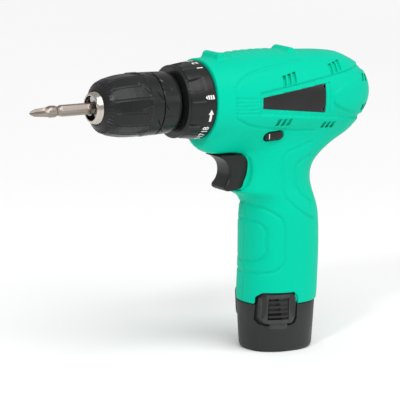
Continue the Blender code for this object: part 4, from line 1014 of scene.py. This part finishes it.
TRIGGER = [(-46.6, 120.9), (-44.0, 119.6), (-41.4, 117.5), (-39.6, 114.8), (-38.9, 111.5), (-39.2, 108.2),
           (-40.6, 105.2),
           (-42.2, 102.8), (-42.4, 100.9), (-40.8, 99.6), (-37.5, 99.3), (-33.4, 99.8), (-29.9, 101.4),
           (-27.6, 104.2), (-26.3, 108.4),
           (-25.8, 113.0), (-26.4, 117.4), (-28.9, 120.3), (-33.0, 121.2), (-38.0, 121.4), (-43.0, 121.5),
           (-45.6, 121.5)]
outline = closed_curve(TRIGGER, 96)
middle_of_front = (ease((-34 - outline[:, 0]) / 3) * ease((119 - outline[:, 1]) / 4)
                   * ease((outline[:, 1] - 102.5) / 4))
front_share = 0.28 + 0.5 * middle_of_front
trigger = solid_of(pushed_across(outline, 8.0, 2.2, front_share, 9), "trigger_grip", "trigger",
                   "trigger_plastic", 50)
# The spring and the plunger sit in a round pocket in the trigger's back.
boolean(trigger, piece("pocket", *cylinder((-33.0, 0, 109.8), (-20.0, 0, 109.8), 5.0), smooth=False),
        "DIFFERENCE")
solid_of(cylinder((-33.5, 0, 109.8), (-15.5, 0, 109.8), 2.0), "trigger_plunger", "trigger", "trigger_plastic")
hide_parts("trigger")

BUTTON_HALF = 19.8
BUTTON_OUTLINE = pill_outline(-15.2, 132.6, 12.6, 5.0, 0.06)
button = solid_of(pushed_across(np.array(BUTTON_OUTLINE), BUTTON_HALF, 0.9, 1.0, 5), "direction_button_bar",
                  "direction_button", "trigger_plastic", 50)
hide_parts("direction_button")
ticks = [prism([(-19.4, 131.0), (-18.9, 131.0), (-18.7, 134.0), (-19.2, 134.0)],
               *sorted((side * (BUTTON_HALF - 0.2), side * (BUTTON_HALF + 0.06))))
         for side in (-1, 1)]
button_marks = solid_of(ticks, "direction_button_marks", "direction_button")
print("trigger and button ready")

# %% [markdown]
# The battery foot is an oval moulding that flares a little upwards, with a rolled lower edge. Three round
# seats inside it hold the cells.

# %% Battery foot
FOOT = [(0.0, 18.9, 16.4), (0.25, 20.4, 17.8), (0.8, 21.2, 18.6), (1.8, 21.8, 19.1), (3.5, 22.1, 19.4),
        (9.0, 22.4, 19.7),
        (15.0, 22.8, 20.0), (22.0, 23.2, 20.3), (28.4, 23.6, 20.6), (29.0, 23.5, 20.5), (29.3, 23.1, 20.1)]
FOOT_SHIFT = -0.4


def foot_ring(z, along, across, count=160, power=2.3, inset=0.0):
    turn = np.arange(count) * 2 * math.pi / count
    c, s = np.cos(turn), np.sin(turn)
    x = FOOT_SHIFT + (along - inset) * np.sign(c) * np.abs(c) ** (2 / power)
    y = (across - inset) * np.sign(s) * np.abs(s) ** (2 / power)
    return np.stack([x, y, np.full(count, z)], -1)


def foot_solid(inset=0.0, top=None):
    rings = [foot_ring(z, a, b, inset=inset) for z, a, b in FOOT]
    if top:
        rings = rings[:-2] + [foot_ring(top, 24.2, 21.0, inset=inset)]
    return loft(rings)


LATCH_X = -10.0
LATCH_DEPTH = 0.9
LATCH_TRAVEL = 0.6
foot = piece("battery_foot", *foot_solid(), smooth=False)
CELLS = [(-9.0, -7.79), (9.0, -7.79), (0.0, 7.79)]
for x, y in CELLS:
    boolean(foot, piece("seat", *cylinder((x, y, 8.6), (x, y, 40), 9.0, 48), smooth=False), "DIFFERENCE")

# %% [markdown]
# Each latch is a springy tongue moulded with the foot's outline: a narrow neck below, a wide pad above with a
# sunk, ribbed thumb rest. A pocket round it leaves room for the squeeze.

# %% Latches


def rounded_box(half_x, half_y, corner, steps=8):
    places = []
    for k, (sx, sy) in enumerate(((1, 1), (-1, 1), (-1, -1), (1, -1))):
        for t in np.linspace(0, math.pi / 2, steps) + k * math.pi / 2:
            places.append((sx * (half_x - corner) + corner * math.cos(t),
                           sy * (half_y - corner) + corner * math.sin(t)))
    return places


def latch_outline(grow, neck_grow):
    """The side view of a latch: a wide pad on a narrower neck, which bends where it meets the foot."""
    wide, neck, low = 10.3 + grow, 5.2 + neck_grow, 14.4 - neck_grow
    right = [(neck, low), (neck, 17.9 - grow), (7.4, 17.9 - grow), (wide - 1.5, 18.9 - grow),
             (wide, 21.6 - grow), (wide, 33.6),
             (wide - 2.6, 36.2 + grow)]
    return [(LATCH_X + x, z) for x, z in right] + [(LATCH_X - x, z) for x, z in right[::-1]]


def curved_plate(name, outline, side, outer_inset, inner_inset, rounding=0.0):
    """What lies under an outline between two depths of the oval foot, on one side."""
    low, high = sorted((side * 6.0, side * 40))
    plate = piece(name, *prism(outline, low, high, rounding), smooth=False)
    boolean(plate, piece("limit", *foot_solid(outer_inset, 38.0), smooth=False), "INTERSECT")
    boolean(plate, piece("core", *foot_solid(inner_inset, 39.0), smooth=False), "DIFFERENCE")
    return plate


for side, label in ((-1, "left"), (1, "right")):
    boolean(foot, curved_plate("pocket", latch_outline(1.5, 0.08), side, -2.0,
                               LATCH_DEPTH + LATCH_TRAVEL + 0.1), "DIFFERENCE")
    latch = curved_plate(label + "_latch_pad", latch_outline(0.0, 0.0), side, 0.0, LATCH_DEPTH)
    raised = [place for place in latch_outline(-0.25, 0.0) if place[1] > 18.0]
    boolean(latch, curved_plate("raised", raised, side, -0.9, LATCH_DEPTH - 0.1), "UNION")
    keep_off = [[(x, y, z) for x, y in rounded_box(20.3, 19.1, 11.0)] for z in (20, 60)]
    boolean(latch, piece("keep_off", *loft(keep_off), smooth=False), "DIFFERENCE")
    frame_of_pad = [(LATCH_X - 6.8, 20.4), (LATCH_X + 5.6, 20.4), (LATCH_X + 5.6, 33.6),
                    (LATCH_X - 6.8, 33.6)]
    boolean(latch, curved_plate("dish", frame_of_pad, side, -3.0, 0.45), "DIFFERENCE")
    bevelled(latch, 0.35, 3, 40)
    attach(latch, label + "_latch")
    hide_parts(label + "_latch")
    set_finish(latch, "battery_plastic")
shade(foot, 35)
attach(foot, "battery")
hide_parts("battery_base")
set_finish(foot, "battery_plastic")
print("battery ready")

# %% [markdown]
# ## What repeats: screws, ribs and teeth
#
# Copies are a job for Geometry Nodes. One tree puts a source piece on every point of a mesh, with a
# turn for each point. The other sets copies at even steps, each turned a little more about the tool's
# axis. Both end in Realize Instances and Set Material, and the result is turned into a plain mesh.

# %% Two Geometry Nodes trees


def add(tree, kind, inputs=None, **settings):
    """A node of this kind, with its settings, and its inputs given as values or linked sockets."""
    node = tree.nodes.new(kind)
    for key, value in settings.items():
        setattr(node, key, value)
    for key, value in (inputs or {}).items():
        socket = node.inputs[key]
        if isinstance(value, bpy.types.NodeSocket):
            tree.links.new(value, socket)
        else:
            socket.default_value = value
    return node


def new_tree(name, kind, inputs, outputs):
    tree = bpy.data.node_groups.new(name, kind)
    for label, socket in inputs:
        tree.interface.new_socket(label, in_out="INPUT", socket_type=socket)
    for label, socket in outputs:
        tree.interface.new_socket(label, in_out="OUTPUT", socket_type=socket)
    return tree, add(tree, "NodeGroupInput").outputs, add(tree, "NodeGroupOutput").inputs


GEOMETRY = [("Geometry", "NodeSocketGeometry")]
PIECE_INPUTS = [("Piece", "NodeSocketObject"), ("Finish", "NodeSocketMaterial")]


def realised(tree, instances, finish, result):
    whole = add(tree, "GeometryNodeRealizeInstances", {"Geometry": instances})
    finished = add(tree, "GeometryNodeSetMaterial", {"Geometry": whole.outputs[0], "Material": finish})
    tree.links.new(finished.outputs[0], result["Geometry"])


def places_tree():
    tree, given, result = new_tree("piece_on_places", "GeometryNodeTree", GEOMETRY + PIECE_INPUTS, GEOMETRY)
    piece_info = add(tree, "GeometryNodeObjectInfo", {"Object": given["Piece"]})
    turn = add(tree, "GeometryNodeInputNamedAttribute", {"Name": "turn"}, data_type="FLOAT_VECTOR")
    copies = add(tree, "GeometryNodeInstanceOnPoints",
                 {"Points": given["Geometry"], "Instance": piece_info.outputs["Geometry"],
                  "Rotation": turn.outputs[0]})
    realised(tree, copies.outputs[0], given["Finish"], result)
    return tree


def steps_tree():
    sizes = [("Count", "NodeSocketInt"), ("Start", "NodeSocketVector"), ("Step", "NodeSocketVector"),
             ("Turn", "NodeSocketFloat")]
    tree, given, result = new_tree("piece_in_steps", "GeometryNodeTree", GEOMETRY + PIECE_INPUTS + sizes,
                                   GEOMETRY)
    piece_info = add(tree, "GeometryNodeObjectInfo", {"Object": given["Piece"]})
    line = add(tree, "GeometryNodeMeshLine", {"Count": given["Count"], "Start Location": given["Start"],
                                              "Offset": given["Step"]})
    index = add(tree, "GeometryNodeInputIndex")
    angle = add(tree, "ShaderNodeMath", {0: index.outputs[0], 1: given["Turn"]}, operation="MULTIPLY")
    turn = add(tree, "ShaderNodeCombineXYZ", {"X": angle.outputs[0]})
    copies = add(tree, "GeometryNodeInstanceOnPoints",
                 {"Points": line.outputs[0], "Instance": piece_info.outputs["Geometry"],
                  "Rotation": turn.outputs[0]})
    realised(tree, copies.outputs[0], given["Finish"], result)
    return tree


PLACES, STEPS_TREE = places_tree(), steps_tree()

# %% [markdown]
# A tree makes its copies on a base object: bare points for places, an empty mesh for steps. The result is
# read off the evaluated object as a plain mesh, and the helper objects are removed.

# %% From a tree to a plain mesh


def grown(name, base, tree, source, finish, **sizes):
    """The plain mesh that this tree makes on this base object, in metres. The source is used up."""
    modifier = base.modifiers.new("copies", "NODES")
    modifier.node_group = tree
    identifiers = {item.name: item.identifier for item in tree.interface.items_tree if item.in_out == "INPUT"}
    for label, value in {"Piece": source, "Finish": finish, **sizes}.items():
        modifier[identifiers[label]] = value
    graph = bpy.context.evaluated_depsgraph_get()
    data = bpy.data.meshes.new_from_object(base.evaluated_get(graph))
    data.name = name
    base.modifiers.remove(modifier)
    bpy.data.objects.remove(base)
    bpy.data.objects.remove(source)
    obj = bpy.data.objects.new(name, data)
    bpy.context.scene.collection.objects.link(obj)
    return obj


def on_places(name, source, places, turns, finish):
    data = bpy.data.meshes.new("places")
    data.from_pydata([tuple(np.array(p) * MM) for p in places], [], [])
    data.attributes.new("turn", "FLOAT_VECTOR", "POINT").data.foreach_set("vector",
                                                                          np.ravel(turns).astype(np.float32))
    base = bpy.data.objects.new("places", data)
    bpy.context.scene.collection.objects.link(base)
    return grown(name, base, PLACES, source, finish)


def in_steps(name, source, count, finish, start=(0, 0, 0), step=(0, 0, 0), turn=0.0):
    base = bpy.data.objects.new("steps", bpy.data.meshes.new("steps"))
    bpy.context.scene.collection.objects.link(base)
    return grown(name, base, STEPS_TREE, source, finish, Count=count, Start=[v * MM for v in start],
                 Step=[v * MM for v in step], Turn=turn)


print("trees:", PLACES.name, STEPS_TREE.name)

# %% [markdown]
# ## Finishes
#
# Moulded plastic is never one flat value. The tool steel is spark-eroded, so the surface has a fine
# grain. Flow and cooling leave a slow drift in the colour, and hands leave smoother patches. Metal
# keeps the marks of how it was cut. Each of these effects is one shader group with named inputs.

# %% Shared effects as shader groups
VECTOR, FLOAT = "NodeSocketVector", "NodeSocketFloat"


def grain_group():
    """Spark-eroded grain: small soft pits over a finer roughness."""
    tree, given, result = new_tree("moulded_grain", "ShaderNodeTree", [("Vector", VECTOR), ("Scale", FLOAT)],
                                   [("Height", FLOAT), ("Speckle", FLOAT)])
    pits = add(tree, "ShaderNodeTexVoronoi", {"Vector": given["Vector"], "Scale": given["Scale"]},
               feature="SMOOTH_F1")
    finer = add(tree, "ShaderNodeMath", {0: given["Scale"], 1: 2.7}, operation="MULTIPLY")
    noise = add(tree, "ShaderNodeTexNoise", {"Vector": given["Vector"], "Scale": finer.outputs[0],
                                             "Detail": 2.0})
    height = add(tree, "ShaderNodeMath", {0: pits.outputs["Distance"], 1: noise.outputs[0]}, operation="ADD")
    speckle = add(tree, "ShaderNodeMapRange", {"Value": noise.outputs[0], "From Min": 0.4, "From Max": 0.6})
    tree.links.new(height.outputs[0], result["Height"])
    tree.links.new(speckle.outputs[0], result["Speckle"])
    return tree


def drift_group():
    """A slow change from one side of a moulding to the other, and the smoother patches left by handling."""
    tree, given, result = new_tree("drift_and_handling", "ShaderNodeTree",
                                   [("Vector", VECTOR), ("Scale", FLOAT)],
                                   [("Drift", FLOAT), ("Handled", FLOAT)])
    slow = add(tree, "ShaderNodeTexNoise", {"Vector": given["Vector"], "Scale": given["Scale"],
                                            "Detail": 1.0})
    drift = add(tree, "ShaderNodeMapRange", {"Value": slow.outputs[0], "From Min": 0.3, "From Max": 0.7})
    wider = add(tree, "ShaderNodeMath", {0: given["Scale"], 1: 2.3}, operation="MULTIPLY")
    patches = add(tree, "ShaderNodeTexNoise", {"Vector": given["Vector"], "Scale": wider.outputs[0],
                                               "Detail": 4.0,
                                               "Distortion": 0.6})
    handled = add(tree, "ShaderNodeMapRange", {"Value": patches.outputs[0], "From Min": 0.5,
                                               "From Max": 0.66})
    tree.links.new(drift.outputs[0], result["Drift"])
    tree.links.new(handled.outputs[0], result["Handled"])
    return tree


def cut_group():
    """Marks of a cutting tool: fine lines that run round the axis of the tool, or along it."""
    tree, given, result = new_tree("cut_marks", "ShaderNodeTree",
                                   [("Vector", VECTOR), ("Stretch", VECTOR), ("Scale", FLOAT)],
                                   [("Height", FLOAT), ("Tone", FLOAT)])
    stretched = add(tree, "ShaderNodeVectorMath", {0: given["Vector"], 1: given["Stretch"]},
                    operation="MULTIPLY")
    lines = add(tree, "ShaderNodeTexNoise", {"Vector": stretched.outputs[0], "Scale": given["Scale"],
                                             "Detail": 3.0})
    tone = add(tree, "ShaderNodeMapRange", {"Value": lines.outputs[0], "From Min": 0.35, "From Max": 0.65})
    tree.links.new(lines.outputs[0], result["Height"])
    tree.links.new(tone.outputs[0], result["Tone"])
    return tree


def edge_group():
    """A mask of the sharp outer edges, where a coating rubs through first."""
    tree, given, result = new_tree("rubbed_edges", "ShaderNodeTree",
                                   [("Vector", VECTOR), ("Scale", FLOAT), ("Spread", FLOAT)],
                                   [("Mask", FLOAT)])
    shape = add(tree, "ShaderNodeNewGeometry")
    low = add(tree, "ShaderNodeMath", {0: 0.56, 1: given["Spread"]}, operation="SUBTRACT")
    edge = add(tree, "ShaderNodeMapRange", {"Value": shape.outputs["Pointiness"], "From Min": low.outputs[0],
                                            "From Max": 0.62})
    broken = add(tree, "ShaderNodeTexNoise", {"Vector": given["Vector"], "Scale": given["Scale"],
                                              "Detail": 4.0})
    mask = add(tree, "ShaderNodeMath", {0: edge.outputs[0], 1: broken.outputs[0]}, operation="MULTIPLY")
    tree.links.new(mask.outputs[0], result["Mask"])
    return tree


GRAIN, DRIFT, CUT, EDGES = grain_group(), drift_group(), cut_group(), edge_group()
print("effects:", [tree.name for tree in (GRAIN, DRIFT, CUT, EDGES)])

# %% [markdown]
# A finish then places these groups with its own values. `moulded` is for every plastic, `metal` for
# every metal. Both take the two colours that the drift runs between, so that nothing is one flat tone.

# %% The two families of finishes
AROUND = (1.0, 0.02, 0.02)
ALONG = (0.02, 1.0, 1.0)


def start_material(name):
    material = bpy.data.materials.new(name)
    material.use_nodes = True
    tree = material.node_tree
    place = add(tree, "ShaderNodeTexCoord").outputs["Object"]
    return material, tree, place, tree.nodes["Principled BSDF"]


def effect(tree, group, **inputs):
    node = add(tree, "ShaderNodeGroup")
    node.node_tree = group
    for key, value in inputs.items():
        socket = node.inputs[key]
        if isinstance(value, bpy.types.NodeSocket):
            tree.links.new(value, socket)
        else:
            socket.default_value = value
    return node.outputs


def mixed(tree, share, first, second):
    node = add(tree, "ShaderNodeMix", data_type="RGBA")
    tree.links.new(share, node.inputs["Factor"])
    for socket, value in (("A", first), ("B", second)):
        target = [s for s in node.inputs if s.name == socket and s.type == "RGBA"][0]
        if isinstance(value, bpy.types.NodeSocket):
            tree.links.new(value, target)
        else:
            target.default_value = (*value, 1.0)
    return [s for s in node.outputs if s.type == "RGBA"][0]


def between(tree, share, low, high):
    return add(tree, "ShaderNodeMapRange", {"Value": share, "To Min": low, "To Max": high}).outputs[0]


def bumped(tree, shader, height, distance, strength=1.0):
    bump = add(tree, "ShaderNodeBump", {"Height": height, "Distance": distance * MM, "Strength": strength})
    tree.links.new(bump.outputs[0], shader.inputs["Normal"])

# %% [markdown]
# Plastics get grain, drift and handling; metals get the marks of their cutting and rubbed edges.

# %% Moulded plastic and cut metal


def moulded(name, colour, other, rough=(0.42, 0.34), grain=2600.0, depth=0.02, drift=28.0, gloss=0.35,
            worn=None):
    """A moulded plastic: drift and speckle in its colour, smoother where it is handled, finely grained."""
    material, tree, place, shader = start_material(name)
    grains = effect(tree, GRAIN, Vector=place, Scale=grain)
    slow = effect(tree, DRIFT, Vector=place, Scale=drift)
    base = mixed(tree, slow["Drift"], colour, other)
    darker = mixed(tree, between(tree, grains["Speckle"], 0.0, 0.35), base, tuple(0.86 * c for c in colour))
    if worn:
        rubbed = effect(tree, EDGES, Vector=place, Scale=400.0, Spread=0.01)
        darker = mixed(tree, rubbed["Mask"], darker, worn)
    tree.links.new(darker, shader.inputs["Base Color"])
    tree.links.new(between(tree, slow["Handled"], *rough), shader.inputs["Roughness"])
    bumped(tree, shader, grains["Height"], depth)
    shader.inputs["Specular IOR Level"].default_value = gloss
    return material


def metal(name, colour, other, rough=(0.32, 0.2), stretch=AROUND, lines=900.0, depth=0.012, worn=None,
          metallic=1.0):
    """A cut or plated metal: tool marks in its tone and height, smoother in handled patches, brighter where
    edges have rubbed.
    """
    material, tree, place, shader = start_material(name)
    marks = effect(tree, CUT, Vector=place, Stretch=stretch, Scale=lines)
    slow = effect(tree, DRIFT, Vector=place, Scale=60.0)
    base = mixed(tree, marks["Tone"], colour, other)
    rubbed = effect(tree, EDGES, Vector=place, Scale=700.0, Spread=0.015)
    tree.links.new(mixed(tree, rubbed["Mask"], base, worn or tuple(min(1.0, 1.25 * c) for c in colour)),
                   shader.inputs["Base Color"])
    tree.links.new(between(tree, slow["Handled"], *rough), shader.inputs["Roughness"])
    bumped(tree, shader, marks["Height"], depth)
    shader.inputs["Metallic"].default_value = metallic
    return material

# %% [markdown]
# Eighteen finishes cover the whole tool. The colours are linear, and each has a second tone that the drift or
# the tool marks mix in.

# %% The list of finishes
FINISHES = {
    "green_plastic": moulded("green_shell", (0.0, 0.55, 0.345), (0.0, 0.58, 0.372), (0.46, 0.36), 3000.0,
                             0.01, 14.0, 0.05),
    "badge_film": moulded("badge_satin", (0.008, 0.0075, 0.0075), (0.013, 0.012, 0.012), (0.4, 0.3), 5200.0,
                          0.006, 40.0, 0.35),
    "black_plastic": moulded("black_moulded", (0.0085, 0.009, 0.009), (0.012, 0.0125, 0.0125), (0.3, 0.22),
                             2400.0, 0.012, 30.0, 0.3,
                             (0.05, 0.05, 0.05)),
    "trigger_plastic": moulded("trigger_grey", (0.008, 0.0105, 0.009), (0.011, 0.0135, 0.012), (0.36, 0.28),
                               2600.0, 0.012, 50.0, 0.3),
    "battery_plastic": moulded("battery_grey", (0.018, 0.018, 0.018), (0.025, 0.025, 0.025), (0.48, 0.4),
                               1900.0, 0.03, 26.0, 0.32,
                               (0.06, 0.06, 0.06)),
    "inner_plastic": moulded("glass_filled_nylon", (0.03, 0.03, 0.032), (0.055, 0.055, 0.058), (0.6, 0.45),
                             1500.0, 0.03, 60.0),
    "bush": moulded("bearing_bush", (0.42, 0.36, 0.25), (0.5, 0.44, 0.33), (0.55, 0.4), 3200.0, 0.015, 90.0),
    "red_lead": moulded("red_insulation", (0.5, 0.012, 0.01), (0.6, 0.02, 0.015), (0.5, 0.35), 2600.0, 0.01,
                        80.0),
    "black_lead": moulded("black_insulation", (0.012, 0.012, 0.012), (0.02, 0.02, 0.02), (0.5, 0.35), 2600.0,
                          0.01, 80.0),
    "cell_wrap": moulded("shrunk_sleeve", (0.02, 0.09, 0.32), (0.03, 0.12, 0.4), (0.3, 0.18), 700.0, 0.02,
                         45.0, 0.5),
    "magnet": moulded("sintered_ferrite", (0.035, 0.034, 0.036), (0.06, 0.058, 0.06), (0.75, 0.6), 1300.0,
                      0.04, 120.0),
    "screw_steel": metal("blackened_steel", (0.05, 0.05, 0.052), (0.09, 0.09, 0.092), (0.42, 0.3), ALONG,
                         1200.0, 0.01,
                         (0.35, 0.34, 0.33)),
    "gear_steel": metal("ground_steel", (0.42, 0.42, 0.43), (0.55, 0.55, 0.56), (0.34, 0.22), AROUND, 1600.0),
    "motor_steel": metal("zinc_plate", (0.46, 0.46, 0.47), (0.56, 0.56, 0.56), (0.4, 0.26), ALONG, 500.0),
    "rotor": metal("stacked_laminations", (0.3, 0.2, 0.13), (0.55, 0.33, 0.2), (0.45, 0.3), AROUND, 2600.0,
                   0.03),
    "chuck_alloy": metal("turned_alloy", (0.32, 0.32, 0.33), (0.45, 0.45, 0.45), (0.36, 0.24), AROUND, 1300.0,
                         0.02),
    "nickel": metal("nickel_plate", (0.5, 0.46, 0.41), (0.58, 0.535, 0.48), (0.24, 0.16), AROUND, 1500.0,
                    0.004),
    "bit_steel": metal("satin_tool_steel", (0.27, 0.23, 0.2), (0.37, 0.315, 0.28), (0.4, 0.3), ALONG, 900.0,
                       0.01,
                       (0.55, 0.5, 0.46)),
}
PRINT = moulded("pad_print_white", (0.78, 0.78, 0.76), (0.86, 0.86, 0.84), (0.5, 0.4), 4200.0, 0.006, 60.0,
                0.3)
print("finishes:", len(FINISHES) + 1)

# %% [markdown]
# ## Screws, chuck teeth and latch ribs
#
# The halves are held by five pan-head screws from the right side, and each badge has two small pins.
# A head is a lathe shape with a cross cut in it. Its copies are set on places by the first tree.

# %% Screw heads and pins


def pan_head(radius, height, shank_radius, shank):
    """A cross-head screw in millimetres, its top at the origin and facing +Z, as a source to copy."""
    profile = [(0, 0), (radius * 0.55, 0), (radius * 0.85, -0.18 * height), (radius, -0.55 * height),
               (radius, -height),
               (shank_radius, -height), (shank_radius, -height - shank), (0, -height - shank)]
    count = 32
    turn = np.arange(count) * 2 * math.pi / count
    rings = [np.stack([r * np.cos(turn), r * np.sin(turn), np.full(count, z)], -1) for r, z in profile[1:-1]]
    head = piece("screw_source", *loft(rings), smooth=False)
    blade, reach, deep = 0.17 * radius, 0.58 * radius, 0.62 * height
    cross = [(blade, blade), (blade, reach), (-blade, reach), (-blade, blade), (-reach, blade),
             (-reach, -blade), (-blade, -blade),
             (-blade, -reach), (blade, -reach), (blade, -blade), (reach, -blade), (reach, blade)]
    rings = [[(x * k, y * k, z) for x, y in cross] for z, k in ((-deep, 0.55), (0.2, 1.05))]
    boolean(head, piece("cross", *loft(rings), smooth=False), "DIFFERENCE", "EXACT")
    bevelled(head, 0.05 * radius, 2, 40)
    return head


screw_names = ("screw_top_front", "screw_top_rear", "screw_chin", "screw_neck", "screw_rear")
LOOKING_RIGHT = (-math.pi / 2, 0, 0)
LOOKING_LEFT = (math.pi / 2, 0, 0)
screws = on_places("housing_screws", pan_head(2.7, 1.9, 1.5, 6.0), [(x, y, z) for x, y, z in SCREWS],
                   [LOOKING_RIGHT] * len(SCREWS), FINISHES["screw_steel"])
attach(screws, "root")
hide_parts(*screw_names)
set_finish(screws, "screw_steel")


def skin_y(x, z, side):
    """Where the shell's surface is, on one side, at this place of the side view."""
    low, high = 0.0, 40.0
    for _ in range(40):
        middle = (low + high) / 2
        if body_field(np.array([[x, side * middle, z]]))[0] < 0:
            low = middle
        else:
            high = middle
    return side * low


PINS = [(15.9, 161.0), (15.3, 147.2)]
for side, label, turn in ((-1, "left", LOOKING_LEFT), (1, "right", LOOKING_RIGHT)):
    places = [(x, skin_y(x, z, side) + side * 0.45, z) for x, z in PINS]
    pins = on_places(label + "_badge_pins", pan_head(1.35, 0.7, 0.6, 0.9), places, [turn] * len(PINS),
                     FINISHES["screw_steel"])
    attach(pins, "root")
    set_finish(pins, "screw_steel")
print("screws at", [tuple(round(v, 1) for v in place) for place in SCREWS])

# %% [markdown]
# The front edge of the chuck sleeve has a ring of small teeth that give the fingers a hold, and each
# latch has a ladder of ribs. Both are one small source piece in even steps: the teeth turn about the
# axis, the ribs climb.

# %% Chuck teeth and latch ribs
TEETH = 42
slope = [(-125.3, 12.75), (-124.2, 14.2), (-122.9, 15.2)]
rings = []
for share, half in ((0.0, 0.30), (0.75, 0.24), (1.0, 0.12)):
    ring = [(x, half, r - 0.35 + 0.75 * share) for x,
            r in slope] + [(x, -half, r - 0.35 + 0.75 * share) for x, r in slope[::-1]]
    rings.append(ring)
tooth = piece("tooth_source", *loft(rings), smooth=False)
teeth = in_steps("chuck_front_teeth", tooth, TEETH, FINISHES["black_plastic"], start=(0, 0, AXIS_Z),
                 turn=2 * math.pi / TEETH)
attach(teeth, "chuck_sleeve")
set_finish(teeth, "black_plastic")

for side, label in ((-1, "left"), (1, "right")):
    bar = [(LATCH_X - 6.4, 21.6), (LATCH_X + 5.2, 21.9), (LATCH_X + 5.2, 23.2), (LATCH_X - 6.4, 22.9)]
    rib = bevelled(curved_plate("rib_source", bar, side, -0.75, LATCH_DEPTH - 0.15), 0.3, 2, 40)
    ribs = in_steps(label + "_latch_ribs", rib, 4, FINISHES["battery_plastic"], step=(0, 0, 3.0))
    shade(ribs, 40)
    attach(ribs, label + "_latch")
    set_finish(ribs, "battery_plastic")
print("teeth:", len(teeth.data.polygons), "faces")

# %% [markdown]
# ## Every piece gets its finish
#
# Each new piece was given a slot of the record, and each piece of the mechanism inside already has
# one. A loop gives all of them the finish of that slot, inside and outside alike.

# %% Assign the finishes


def finish_piece(obj, material):
    obj.data.materials.clear()
    obj.data.materials.append(material)


slot_of = {sub["node"]: sub["material_slot"] for sub in frame["record"]["subparts"]}
for name, node in nodes.items():
    finish_piece(node, FINISHES[slot_of[name]])
made = [obj for obj in bpy.context.scene.objects
        if obj.type == "MESH" and obj.get("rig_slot") and obj.name not in nodes]
for obj in made:
    finish_piece(obj, FINISHES[obj["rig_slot"]])
for obj in (collar_marks, button_marks):
    finish_piece(obj, PRINT)
print("finished:", len(nodes), "frame pieces and", len(made) + 2, "new ones")

# %% [markdown]
# ## Floor, light and camera
#
# A product picture like this is taken on a white sweep under large soft lights. A big floor and a
# bright sky stand in for the sweep. The sky is brighter to the camera than to the tool, so the
# background stays white while the lamps still model the shapes.

# %% Floor, sky and lamps
floor = piece("floor", [(-3000, -3000, 0), (3000, -3000, 0), (3000, 3000, 0), (-3000, 3000, 0)],
              [[0, 1, 2, 3]])
floor_finish, floor_tree, floor_place, floor_shader = start_material("floor_paper")
paper = effect(floor_tree, DRIFT, Vector=floor_place, Scale=3.0)
floor_tree.links.new(mixed(floor_tree, paper["Drift"], (0.97, 0.97, 0.97), (0.985, 0.985, 0.985)),
                     floor_shader.inputs["Base Color"])
floor_shader.inputs["Roughness"].default_value = 0.9
floor_shader.inputs["Specular IOR Level"].default_value = 0.1
floor.data.materials.append(floor_finish)

world = bpy.data.worlds.new("studio")
bpy.context.scene.world = world
world.use_nodes = True
sky = world.node_tree.nodes["Background"]
seen = add(world.node_tree, "ShaderNodeLightPath").outputs["Is Camera Ray"]
world.node_tree.links.new(between(world.node_tree, seen, 0.5, 1.0), sky.inputs["Strength"])
sky.inputs["Color"].default_value = (1, 1, 1, 1)


def lamp(name, kind, place, power, size, aim=(0, 0, 110)):
    data = bpy.data.lights.new(name, kind)
    data.energy = power
    if kind == "SUN":
        data.angle = math.radians(size)
    else:
        data.shape = "DISK"
        data.size = size * MM
    obj = bpy.data.objects.new(name, data)
    bpy.context.scene.collection.objects.link(obj)
    obj.location = Vector(place) * MM
    obj.rotation_euler = (Vector(aim) * MM - obj.location).to_track_quat("-Z", "Y").to_euler()


lamp("key", "SUN", (50, -850, 1300), 1.75, 55)
lamp("fill", "AREA", (900, -900, 500), 1.5, 500)
lamp("edge", "AREA", (-650, -500, 700), 2.4, 130, (-100, 0, 160))

# %% [markdown]
# The camera stands well back with a long lens, a little above the tool and towards its front, so the
# chuck points to the left and its nose ring is seen open.

# %% Camera
AROUND_DEGREES, ABOVE_DEGREES, ROLL_DEGREES = -32.0, 10.28, 0.44
AIM = Vector((-54.85, 0.0, 94.5)) * MM
BACK = 1.8
around, above = math.radians(AROUND_DEGREES), math.radians(ABOVE_DEGREES)
direction = Vector((math.sin(around) * math.cos(above), -math.cos(around) * math.cos(above), math.sin(above)))
lens = bpy.data.cameras.new("camera")
lens.sensor_width = 36
lens.lens = 272.8
lens.clip_start = 0.01
camera = bpy.data.objects.new("camera", lens)
bpy.context.scene.collection.objects.link(camera)
camera.location = AIM + BACK * direction
camera.rotation_mode = "QUATERNION"
camera.rotation_quaternion = direction.to_track_quat("Z", "Y") @ Quaternion((0, 0, 1),
                                                                            math.radians(ROLL_DEGREES))
bpy.context.scene.camera = camera
bpy.context.scene.view_settings.view_transform = "Standard"
print("camera:", [round(v, 3) for v in camera.location])
